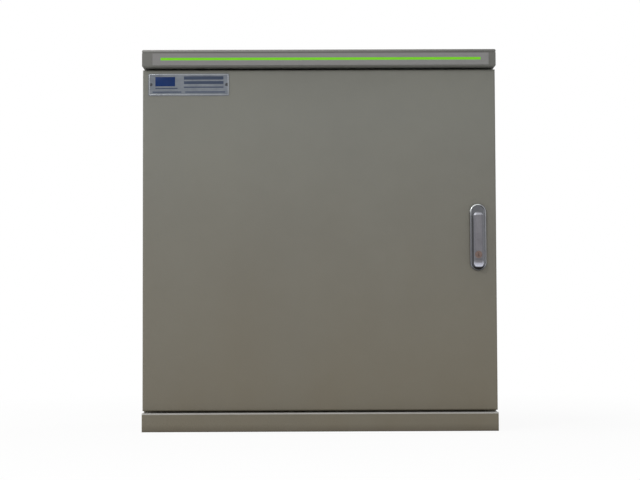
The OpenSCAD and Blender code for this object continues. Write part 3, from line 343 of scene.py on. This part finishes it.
def dish_metal():
    """Satin metal of the handle's dish: painted highlights on the rim and the recess's latch side, and
    painted shade in the recess.
    """
    low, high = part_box("handle_dish")
    middle = (low.x + high.x) / 2
    above_toe = ("Z", low.z - 4 * MM, low.z + 14 * MM)
    below_head = ("Z", high.z - 14 * MM, high.z - 24 * MM)
    rim_crest = ("Y", low.y + 1.3 * MM, low.y + 0.5 * MM)
    rim_head = ("Z", high.z - 17 * MM, high.z - 12 * MM)
    rim_hinge_side = ("X", middle + 6 * MM, middle + 2 * MM)
    rim_foot = ("X", low.x + 1.3 * MM, low.x + 0.4 * MM)
    rim_flank = ("X", low.x + 4.2 * MM, low.x + 3.2 * MM)
    recess_toe = ("Z", low.z + 9 * MM, low.z + 6 * MM)
    recess_hinge_side = ("X", middle - 8 * MM, middle - 16 * MM)
    recess_latch_side = ("X", middle + 10 * MM, middle + 13 * MM)
    # Painted light on the recess's latch side, painted shade in the recess and at the rim's foot,
    # painted highlights on the rim
    painted_marks = (
        (PAINTED_RECESS_LIGHT, NO_GLOSS, (recess_latch_side,)),
        (PAINTED_SHADE, SHADE_GLOSS, (recess_hinge_side, below_head)),
        (PAINTED_SHADE, SHADE_GLOSS, (recess_toe,)),
        (PAINTED_RIM_HIGHLIGHT, HIGHLIGHT_GLOSS, (rim_crest, above_toe)),
        (PAINTED_RIM_HIGHLIGHT, HIGHLIGHT_GLOSS, (rim_flank, above_toe)),
        (PAINTED_SHADE, SHADE_GLOSS, (rim_foot, below_head)),
        (PAINTED_RIM_GLINT, HIGHLIGHT_GLOSS, (rim_crest, rim_head, rim_hinge_side)),
    )
    return brushed_metal("dish_metal", DISH, EVEN, HANDLE_ROUGHNESS, HANDLE_METALLIC, painted_marks)


def lever_metal():
    """Satin metal of the lever, with painted highlights on its sides, its head and the lip that fingers
    pull, and painted shade at its toe.
    """
    low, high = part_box("handle_lever")
    hinge_side = ("X", low.x + 3.2 * MM, low.x + 2.2 * MM)
    latch_side = ("X", high.x - 3.2 * MM, high.x - 2.2 * MM)
    lip = ("Z", low.z + 10.6 * MM, low.z + 3.4 * MM)
    toe = ("Z", low.z + 3 * MM, low.z + 0.5 * MM)
    head = ("Z", high.z - 7 * MM, high.z - 5 * MM)
    below_crown = ("Z", high.z - 0.5 * MM, high.z - 3 * MM)
    # Painted highlights on the sides, lip and head, and painted shade at the toe
    painted_marks = (
        (PAINTED_SIDE_HIGHLIGHT, SIDE_GLOSS, (hinge_side,)),
        (PAINTED_SIDE_HIGHLIGHT, SIDE_GLOSS, (latch_side,)),
        (PAINTED_LIP_HIGHLIGHT, HIGHLIGHT_GLOSS, (lip,)),
        (PAINTED_SHADE, SHADE_GLOSS, (toe,)),
        (PAINTED_HEAD_HIGHLIGHT, HEAD_GLOSS, (head, below_crown)),
    )
    return brushed_metal("lever_metal", LEVER, ALONG_Z, HANDLE_ROUGHNESS, HANDLE_METALLIC, painted_marks)


CASING_PAINT = powder_coat("casing_paint", PAINT, DUST_SHARE)
STEP_PAINT = step_paint()
# Hood paint darkened as painted shade
SHADED_HOOD_PAINT = shaded_hood_paint()
FASCIA_PAINT = smooth_paint("fascia_paint", FASCIA, roughness=(0.37, 0.48), specular=0.45)
ACCENT_GREEN = smooth_paint("accent_green", GREEN, roughness=(0.35, 0.46), specular=0.2)
SLATE_ENAMEL = smooth_paint("slate_enamel", SLATE, roughness=(0.35, 0.46), specular=0.15)
BLUE_ENAMEL = smooth_paint("blue_enamel", BLUE, roughness=(0.35, 0.46), specular=0.12)
GALVANISED = galvanised_sheet("galvanised_sheet")
PLATED = brushed_metal("plated_steel", PLATING, EVEN, roughness=(0.29, 0.45))
RAIL_STEEL = brushed_metal("rail_steel", RAIL, ALONG_X, roughness=(0.23, 0.39))
DISH_METAL = dish_metal()
LEVER_METAL = lever_metal()
PLATE_METAL = brushed_metal("nameplate_metal", PLATE, ALONG_X, roughness=(0.31, 0.47))
PLATE_RIM_METAL = brushed_metal("nameplate_rim_metal", PLATE_RIM, ALONG_X, roughness=(0.23, 0.39))
RIVET_METAL = brushed_metal("rivet_metal", RIVET, EVEN, roughness=(0.33, 0.49))
# Lock brass darkened as painted shade
SHADED_LOCK_BRASS = brushed_metal("shaded_lock_brass", SHADED_LOCK, EVEN, roughness=(0.25, 0.41))
BAR_BRASS = brushed_metal("earth_bar_brass", EARTH_BAR, ALONG_X, roughness=(0.27, 0.43))
SEAL_FOAM = moulded("seal_foam", RUBBER, roughness=(0.64, 0.8), per_metre=2400, relief=0.12 * MM)
GUIDE_NYLON = moulded("guide_nylon", NYLON, roughness=(0.42, 0.58), per_metre=1500, relief=0.06 * MM)
FILTER_FLEECE = fleece("filter_fleece")

FINISHES = {
    CASING_PAINT: (
        "plinth_rear_rail", "plinth_left_rail", "plinth_right_rail", "floor_pan", "left_side_panel",
        "right_side_panel", "rear_panel", "roof_deck", "door_panel", "left_door_stiffener",
        "right_door_stiffener",
    ),
    STEP_PAINT: ("plinth_front_rail",),
    SHADED_HOOD_PAINT: ("hood",),
    FASCIA_PAINT: ("fascia_strip",),
    ACCENT_GREEN: ("accent_strip",),
    GALVANISED: ("gland_plate", "mounting_plate", "hood_bracket_left", "hood_bracket_right"),
    RAIL_STEEL: ("upper_rail", "lower_rail"),
    PLATED: (
        "plinth_bolts", "rear_panel_screws", "hood_bolts", "gland_plate_screws", "mounting_studs",
        "mounting_nuts", "rail_screws", "earth_bar_screws", "upper_keeper", "lower_keeper",
        "upper_hinge_frame_leaf", "lower_hinge_frame_leaf", "upper_hinge_door_leaf",
        "lower_hinge_door_leaf", "handle_clamp", "handle_screws", "lever_pin", "lock_cam", "upper_rod",
        "lower_rod", "upper_hinge_pin", "lower_hinge_pin", "nameplate_rivets",
    ),
    DISH_METAL: ("handle_dish", "handle_spindle"),
    LEVER_METAL: ("handle_lever",),
    PLATE_METAL: ("nameplate",),
    SHADED_LOCK_BRASS: ("lock_cylinder",),
    BAR_BRASS: ("earth_bar",),
    SEAL_FOAM: ("gland_gasket", "cable_grommets", "door_seal", "handle_gasket"),
    GUIDE_NYLON: ("upper_rod_guide", "lower_rod_guide"),
    FILTER_FLEECE: ("upper_filters", "lower_filters"),
}
for finish, names in FINISHES.items():
    for name in names:
        nodes[name].data.materials.clear()
        nodes[name].data.materials.append(finish)


# Pieces

# Distance below which points are one, and degrees from which an edge stays sharp
WELD = 1e-6
SHARP, SHARP_FLEECE = 35, 70


def piece(bm, name, finish, body, replaced=(), sharp=SHARP):
    """Makes the finished piece of a bmesh, hangs it on its body's empty and hides the CAD nodes that it
    stands for.
    """
    mesh = bpy.data.meshes.new(name)
    bm.to_mesh(mesh)
    bm.free()
    mesh.materials.append(finish)
    mesh.shade_smooth()
    mesh.set_sharp_from_angle(angle=math.radians(sharp))
    made = bpy.data.objects.new(name, mesh)
    bpy.context.scene.collection.objects.link(made)
    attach(made, body)
    if replaced:
        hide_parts(*replaced)
    return made


def grow(bm, face, rise, share=1.0):
    """Extrudes a face along z and scales what it becomes about its middle."""
    grown = bmesh.ops.extrude_face_region(bm, geom=[face])["geom"]
    face = next(g for g in grown if isinstance(g, bmesh.types.BMFace))
    bmesh.ops.translate(bm, vec=(0, 0, rise), verts=face.verts)
    middle = Matrix.Translation(-face.calc_center_median())
    bmesh.ops.scale(bm, vec=(share, share, 1), space=middle, verts=face.verts)
    return face


def solids(name):
    """Boxes of the separate solids of a CAD node, as (low, high)."""
    bm = bmesh.new()
    bm.from_mesh(nodes[name].data)
    bmesh.ops.remove_doubles(bm, verts=bm.verts, dist=WELD)
    left = set(bm.verts)
    boxes = []
    while left:
        group, front = set(), [left.pop()]
        while front:
            vert = front.pop()
            group.add(vert)
            for link in vert.link_edges:
                other = link.other_vert(vert)
                if other in left:
                    left.discard(other)
                    front.append(other)
        places = [v.co for v in group]
        boxes.append((
            Vector([min(p[i] for p in places) for i in range(3)]),
            Vector([max(p[i] for p in places) for i in range(3)]),
        ))
    bm.free()
    return sorted(boxes, key=lambda box: tuple(box[0]))


def put_in(bm, part, place):
    """Moves a bmesh to its place and adds it to another one."""
    mesh = bpy.data.meshes.new("part")
    part.to_mesh(mesh)
    part.free()
    mesh.transform(place)
    bm.from_mesh(mesh)
    bpy.data.meshes.remove(mesh)


ROUND_SIDES = 24
# Socket screw: the socket's share of the head's width and height
SOCKET_SHARE, SOCKET_DEPTH = 0.5, 0.6
# Steps of its head and shank: share of the height, and width against the step before
HEAD_STEPS = ((0.55, 1.0), (0.25, 0.94), (0.14, 0.86), (0.06, 0.86))
SHANK_STEPS = ((1.0, 1.0),)
# A side of the six-sided socket, and half of it, as turns about the screw
SIDE_TURN, HALF_SIDE_TURN = math.radians(60), math.radians(30)


def socket_screw(head_r, head_h, shank_r, shank_len):
    """Button-head screw with a six-sided socket, its head above z 0."""
    bm = bmesh.new()
    for r, length, steps in ((head_r, head_h, HEAD_STEPS), (shank_r, -shank_len, SHANK_STEPS)):
        ring = bmesh.ops.create_circle(bm, cap_ends=True, segments=ROUND_SIDES, radius=r)["verts"]
        face = ring[0].link_faces[0]
        for rise, share in steps:
            face = grow(bm, face, rise * length, share)
        if length > 0:
            face = grow(bm, face, 0, SOCKET_SHARE * head_r / face.verts[0].co.xy.length)
            for vert in face.verts:
                angle = math.atan2(vert.co.y, vert.co.x) % SIDE_TURN - HALF_SIDE_TURN
                vert.co.xy *= math.cos(HALF_SIDE_TURN) / math.cos(angle)
            grow(bm, face, -SOCKET_DEPTH * length)
    bmesh.ops.recalc_face_normals(bm, faces=bm.faces)
    return bm


SHANK_R = 2.5 * MM
SCREW_SETS = {
    # new piece: node that it stands for, the way its heads face, their height
    "rear_socket_screws": ("rear_panel_screws", (0, 1, 0), 2.8 * MM),
    "gland_socket_screws": ("gland_plate_screws", (0, 0, 1), 2.8 * MM),
    "rail_socket_screws": ("rail_screws", (0, -1, 0), 2.5 * MM),
    "earth_socket_screws": ("earth_bar_screws", (0, -1, 0), 2.5 * MM),
}


def screw_set(name, source, out, head_h):
    """Socket screws in place of a CAD node's plain ones."""
    bm = bmesh.new()
    axis = max(range(3), key=lambda i: abs(out[i]))
    across = [i for i in range(3) if i != axis]
    turn = Vector((0, 0, 1)).rotation_difference(out).to_matrix().to_4x4()
    for low, high in solids(source):
        seat = (low + high) / 2
        tip = high[axis] if out[axis] > 0 else low[axis]
        tail = low[axis] if out[axis] > 0 else high[axis]
        seat[axis] = tip - head_h * out[axis]
        screw = socket_screw((high - low)[across[0]] / 2, head_h, SHANK_R, abs(tail - seat[axis]))
        put_in(bm, screw, Matrix.Translation(seat) @ turn)
    return piece(bm, name, PLATED, "cabinet", (source,))


for name, (source, out, head_h) in SCREW_SETS.items():
    screw_set(name, source, Vector(out), head_h)


def turned(outline, sides):
    """Spins an outline of (radius, height) pairs about the z axis."""
    bm = bmesh.new()
    verts = [bm.verts.new((r, 0, h)) for r, h in outline]
    edges = [bm.edges.new(pair) for pair in zip(verts, verts[1:])]
    bmesh.ops.spin(
        bm, geom=verts + edges, cent=(0, 0, 0), axis=(0, 0, 1), angle=2 * math.pi, steps=sides,
        use_merge=True,
    )
    bmesh.ops.remove_doubles(bm, verts=bm.verts, dist=WELD)
    bmesh.ops.recalc_face_normals(bm, faces=bm.faces)
    return bm


MEMBRANE_SIDES = 32
# Cable membrane: how far its web and the ribs on it lie below its top
WEB_DROP, RIB_DROP, RIB_HALF = 1.6 * MM, 0.9 * MM, 0.9 * MM
RIBS, RIBS_TO_EDGE = 4, 5.2
# Its collar: inset from its outer edge and drop from its top, in millimetres
COLLAR = ((3, 1.6), (2.4, 0), (0.8, 0), (0, 0.8), (0, 3), (4, 3), (4, 5), (2, 5), (2, 8))
# Its sleeve: share of its outer radius and drop from its top, in millimetres
SLEEVE = ((0.56, 8), (0.55, 12.6), (0.5, 13), (0.28, 13))
# Its tip: share of its outer radius and height above its lower end, in millimetres
TIP = ((0.27, 0.4), (0.25, 0), (0, 0))


def cable_membranes():
    """Closed grommets with stepped collars and ribs where they are cut open."""
    bm = bmesh.new()
    for low, high in solids("cable_grommets"):
        middle = Vector(((low.x + high.x) / 2, (low.y + high.y) / 2, low.z))
        rise, outer = high.z - low.z, (high.x - low.x) / 2
        web, rib = rise - WEB_DROP, rise - RIB_DROP
        outline = [(0, web)]
        for ring in range(1, RIBS + 1):
            r = outer * ring / RIBS_TO_EDGE
            outline += [(r - RIB_HALF, web), (r, rib), (r + RIB_HALF, web)]
        outline += [(outer - inset * MM, rise - drop * MM) for inset, drop in COLLAR]
        outline += [(outer * share, rise - drop * MM) for share, drop in SLEEVE]
        outline += [(outer * share, height * MM) for share, height in TIP]
        put_in(bm, turned(outline, MEMBRANE_SIDES), Matrix.Translation(middle))
    return piece(bm, "cable_membranes", SEAL_FOAM, "cabinet", ("cable_grommets",))


cable_membranes()

RIVET_HEAD_H = 1 * MM
# Rivet, from the bottom of its hole out and round to its tail: shares of its head's radius and height
RIVET_OUTLINE = (
    (0, -1.2), (0.36, -1.2), (0.38, 0.86), (0.46, 1.0), (0.62, 0.9), (0.84, 0.55), (1.0, 0.0),
    (0.53, 0.0), (0.53, -2.9), (0, -2.9),
)


def rivet_domes():
    """Domed blind rivets on the nameplate, each with the hole that its mandrel leaves."""
    bm = bmesh.new()
    for low, high in solids("nameplate_rivets"):
        head_r = (high.x - low.x) / 2
        outline = [(r * head_r, h * RIVET_HEAD_H) for r, h in RIVET_OUTLINE]
        seat = Vector(((low.x + high.x) / 2, low.y + RIVET_HEAD_H, (low.z + high.z) / 2))
        lay = Matrix.Translation(seat) @ Matrix.Rotation(QUARTER_TURN, 4, "X")
        put_in(bm, turned(outline, ROUND_SIDES), lay)
    return piece(bm, "rivet_domes", RIVET_METAL, "door", ("nameplate_rivets",))


rivet_domes()


def raised_block(bm, xs, zs, y, rise, bevel):
    """Low block with bevelled edges on a face that looks to -Y."""
    middle = Vector(((xs[0] + xs[1]) / 2, y - rise / 2, (zs[0] + zs[1]) / 2))
    sizes = Matrix.Diagonal((xs[1] - xs[0], rise, zs[1] - zs[0], 1))
    verts = bmesh.ops.create_cube(bm, size=1, matrix=Matrix.Translation(middle) @ sizes)["verts"]
    edges = {e for v in verts for e in v.link_edges}
    front = [e for e in edges if all(v.co.y < middle.y for v in e.verts)]
    bmesh.ops.bevel(
        bm, geom=front, offset=bevel, affect="EDGES", segments=2, profile=0.5, material=-1
    )


RIM_INSET, RIM_WIDTH, RIM_RISE, RIM_BEVEL = 1.2 * MM, 1.4 * MM, 0.45 * MM, 0.2 * MM
FIELD_RISE, FIELD_BEVEL = 0.2 * MM, 0.08 * MM
# Blank fields as shares of the plate: left, right, lower and upper edge
BLUE_FIELD = (0.085, 0.33, 0.43, 0.85)
SLATE_FIELDS = (
    (0.44, 0.93, 0.73, 0.88), (0.44, 0.93, 0.53, 0.66), (0.44, 0.93, 0.36, 0.41),
    (0.085, 0.36, 0.31, 0.355), (0.05, 0.41, 0.14, 0.19), (0.455, 0.95, 0.14, 0.19),
)


def plate_field(bm, shares):
    """Flat enamelled field on the nameplate."""
    low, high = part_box("nameplate")
    xs = [low.x + (high.x - low.x) * share for share in shares[:2]]
    zs = [low.z + (high.z - low.z) * share for share in shares[2:]]
    raised_block(bm, xs, zs, low.y, FIELD_RISE, FIELD_BEVEL)


def nameplate_relief():
    """Raised rim and blank enamelled fields of the nameplate."""
    low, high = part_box("nameplate")
    xs, zs = (low.x + RIM_INSET, high.x - RIM_INSET), (low.z + RIM_INSET, high.z - RIM_INSET)
    upright = (zs[0] + RIM_WIDTH, zs[1] - RIM_WIDTH)
    bm = bmesh.new()
    for z in (zs[0], zs[1] - RIM_WIDTH):
        raised_block(bm, xs, (z, z + RIM_WIDTH), low.y, RIM_RISE, RIM_BEVEL)
    for x in (xs[0], xs[1] - RIM_WIDTH):
        raised_block(bm, (x, x + RIM_WIDTH), upright, low.y, RIM_RISE, RIM_BEVEL)
    piece(bm, "nameplate_rim", PLATE_RIM_METAL, "door")
    bm = bmesh.new()
    plate_field(bm, BLUE_FIELD)
    piece(bm, "nameplate_blue_field", BLUE_ENAMEL, "door")
    bm = bmesh.new()
    for shares in SLATE_FIELDS:
        plate_field(bm, shares)
    piece(bm, "nameplate_blank_fields", SLATE_ENAMEL, "door")


nameplate_relief()

SEAL_WIDTH, SEAL_TURN_R, SEAL_TURN_STEPS, SEAL_WELD = 10 * MM, 12 * MM, 8, 1e-5
# Half of the seal's section, as shares of its width and thickness
SEAL_BULGE = [(0, 0), (0, 0.42), (0.06, 0.66), (0.2, 0.88), (0.38, 0.985), (0.5, 1.0)]


def door_seal_strip():
    """Foam strip with a rounded back, run round the door and turned at its corners."""
    low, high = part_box("door_seal")
    thick = high.y - low.y
    bm = bmesh.new()
    inset = SEAL_WIDTH + SEAL_TURN_R
    inner_low = Vector((low.x + inset, 0, low.z + inset))
    inner_high = Vector((high.x - inset, 0, high.z - inset))
    section = SEAL_BULGE + [(1 - u, v) for u, v in reversed(SEAL_BULGE[:-1])]
    verts = [
        bm.verts.new((low.x + u * SEAL_WIDTH, low.y + v * thick, inner_low.z)) for u, v in section
    ]
    geom = verts + [bm.edges.new(pair) for pair in zip(verts, verts[1:] + verts[:1])]
    runs = (
        ((0, 0, inner_high.z - inner_low.z), (inner_low.x, 0, inner_high.z)),
        ((inner_high.x - inner_low.x, 0, 0), (inner_high.x, 0, inner_high.z)),
        ((0, 0, inner_low.z - inner_high.z), (inner_high.x, 0, inner_low.z)),
        ((inner_low.x - inner_high.x, 0, 0), (inner_low.x, 0, inner_low.z)),
    )
    for run, corner in runs:
        edges = [g for g in geom if isinstance(g, bmesh.types.BMEdge)]
        geom = bmesh.ops.extrude_edge_only(bm, edges=edges)["geom"]
        bmesh.ops.translate(bm, vec=run, verts=[g for g in geom if isinstance(g, bmesh.types.BMVert)])
        edges = [g for g in geom if isinstance(g, bmesh.types.BMEdge)]
        geom = bmesh.ops.spin(
            bm, geom=edges, cent=corner, axis=(0, 1, 0), angle=QUARTER_TURN, steps=SEAL_TURN_STEPS
        )["geom_last"]
    bmesh.ops.remove_doubles(bm, verts=bm.verts, dist=SEAL_WELD)
    bmesh.ops.recalc_face_normals(bm, faces=bm.faces)
    return piece(bm, "door_seal_strip", SEAL_FOAM, "door", ("door_seal",))


door_seal_strip()

MAT_CUTS = 31
# Filter mat: how square its crown is, its seams on each side of the middle, and how full between them
MAT_CROWN, MAT_SEAMS, MAT_FULLNESS = 4, 4, 0.6
# Lumps in it from the middle to the edge, and in a metre of height from mat to mat
MAT_LUMPS, MAT_LUMPS_PER_M = 9, 50
# Shares of its thickness: at its rim, what its crown and its lumps add, and the most of it
MAT_RIM, MAT_PUFF, MAT_LUMP, MAT_MOST = 0.55, 0.33, 0.06, 0.98


def filter_mats(name, source):
    """Fleece mats, crowned and quilted, each in a folded rim."""
    bm = bmesh.new()
    for low, high in solids(source):
        middle, size = (low + high) / 2, high - low
        back = size.y / 2
        mat = bmesh.new()
        bmesh.ops.create_cube(mat, size=1, matrix=Matrix.Diagonal((*size, 1)))
        bmesh.ops.subdivide_edges(mat, edges=mat.edges, cuts=MAT_CUTS, use_grid_fill=True)
        for vert in mat.verts:
            across, along = 2 * vert.co.x / size.x, 2 * vert.co.z / size.z
            if vert.co.y < back - WELD:
                puff = (1 - across ** MAT_CROWN) * (1 - along ** MAT_CROWN)
                quilt = abs(math.sin(across * MAT_SEAMS * math.pi)) ** MAT_FULLNESS
                spot = Vector((across * MAT_LUMPS, along * MAT_LUMPS, middle.z * MAT_LUMPS_PER_M))
                share = MAT_RIM + MAT_PUFF * puff * quilt + MAT_LUMP * noise.noise(spot)
                vert.co.y = back + (vert.co.y - back) * min(share, MAT_MOST)
        put_in(bm, mat, Matrix.Translation(middle))
    return piece(bm, name, FILTER_FLEECE, "cabinet", (source,), SHARP_FLEECE)


for level in ("upper", "lower"):
    filter_mats(level + "_filter_mats", level + "_filters")


# Floor, light and camera

CAMERA_PLACE = (-0.01867, -3.4088, 0.21992)
CAMERA_PITCH = math.radians(2.7868)
CAMERA_YAW = math.radians(0.3471)
CAMERA_ROLL = math.radians(-0.2205)
CAMERA_LENS = 91.548


def camera():
    """Camera in front of the door, a little below its middle."""
    data = bpy.data.cameras.new("camera")
    data.sensor_fit = "HORIZONTAL"
    data.lens = CAMERA_LENS
    made = bpy.data.objects.new("camera", data)
    bpy.context.scene.collection.objects.link(made)
    turn = (
        Matrix.Rotation(-CAMERA_YAW, 4, "Z")
        @ Matrix.Rotation(QUARTER_TURN + CAMERA_PITCH, 4, "X")
        @ Matrix.Rotation(CAMERA_ROLL, 4, "Z")
    )
    made.matrix_world = Matrix.Translation(CAMERA_PLACE) @ turn
    bpy.context.scene.camera = made


def seen_ray(tree):
    """1 for rays that the eye follows: straight, off gloss or through glass."""
    path = tree.nodes.new("ShaderNodeLightPath")
    total = path.outputs["Is Camera Ray"]
    for name in ("Is Glossy Ray", "Is Transmission Ray"):
        larger = tree.nodes.new("ShaderNodeMath")
        larger.operation = "MAXIMUM"
        tree.links.new(total, larger.inputs[0])
        tree.links.new(path.outputs[name], larger.inputs[1])
        total = larger.outputs[0]
    return total


SKY_LIGHT, SKY_SEEN = 0.45, 1.0


def sky():
    """White to the eye, and an even dimmer light on the object."""
    world = bpy.data.worlds.new("sky")
    world.use_nodes = True
    tree = world.node_tree
    background = tree.nodes["Background"]
    background.inputs["Color"].default_value = (1, 1, 1, 1)
    strength = tree.nodes.new("ShaderNodeMapRange")
    tree.links.new(seen_ray(tree), strength.inputs["Value"])
    strength.inputs["To Min"].default_value = SKY_LIGHT
    strength.inputs["To Max"].default_value = SKY_SEEN
    tree.links.new(strength.outputs["Result"], background.inputs["Strength"])
    bpy.context.scene.world = world


FLOOR_HALF, FLOOR_CELLS, FLOOR_ROUGHNESS = 9.0, 4, 0.9
# How much of the floor's white is its own: distance from the object's middle, and share
GLOW_NEAR, GLOW_FAR = (0.6, 0.92), (1.5, 1.0)


def floor():
    """Pale floor that looks white and keeps the object's shadow."""
    bm = bmesh.new()
    bmesh.ops.create_grid(bm, x_segments=FLOOR_CELLS, y_segments=FLOOR_CELLS, size=FLOOR_HALF)
    mesh = bpy.data.meshes.new("floor")
    bm.to_mesh(mesh)
    bm.free()
    made = bpy.data.objects.new("floor", mesh)
    bpy.context.scene.collection.objects.link(made)
    white = Finish("floor_white", Roughness=FLOOR_ROUGHNESS, Specular_IOR_Level=0.0)
    white.colour(linear(FLOOR_WHITE))
    reach = white.add("ShaderNodeVectorMath", {0: white.place}, operation="LENGTH").outputs["Value"]
    widening = white.span(reach, GLOW_NEAR[0], GLOW_FAR[0], GLOW_NEAR[1], GLOW_FAR[1])
    share = white.join("MULTIPLY", seen_ray(white.tree), widening)
    glow = white.add("ShaderNodeEmission").outputs["Emission"]
    sockets = {"Fac": share, 1: white.shader.outputs["BSDF"], 2: glow}
    mixed = white.add("ShaderNodeMixShader", sockets).outputs["Shader"]
    white.put(white.tree.nodes["Material Output"], "Surface", mixed)
    mesh.materials.append(white.material)


LAMPS = {
    # name: place, size, power
    "overhead_softbox": ((-0.6, -0.3, 2.5), 1.0, 12),
    "key_light": ((-1.6, -2.6, 2.2), 0.4, 23),
    "front_softbox": ((0.1, -4.4, 0.9), 2.2, 19),
    "left_softbox": ((-3.0, -0.3, 1.6), 1.6, 22),
    "rear_softbox": ((2.8, 3.0, 3.0), 2.2, 36),
}
LAMP_AIM = Vector((0, 0, 0.38))


def lamps():
    """Area lamps, all turned to the middle of the cabinet."""
    for name, (place, size, power) in LAMPS.items():
        data = bpy.data.lights.new(name, "AREA")
        data.size = size
        data.energy = power
        made = bpy.data.objects.new(name, data)
        bpy.context.scene.collection.objects.link(made)
        made.location = place
        made.rotation_euler = (LAMP_AIM - Vector(place)).to_track_quat("-Z", "Y").to_euler()


camera()
sky()
floor()
lamps()
bpy.context.scene.view_settings.view_transform = "Standard"
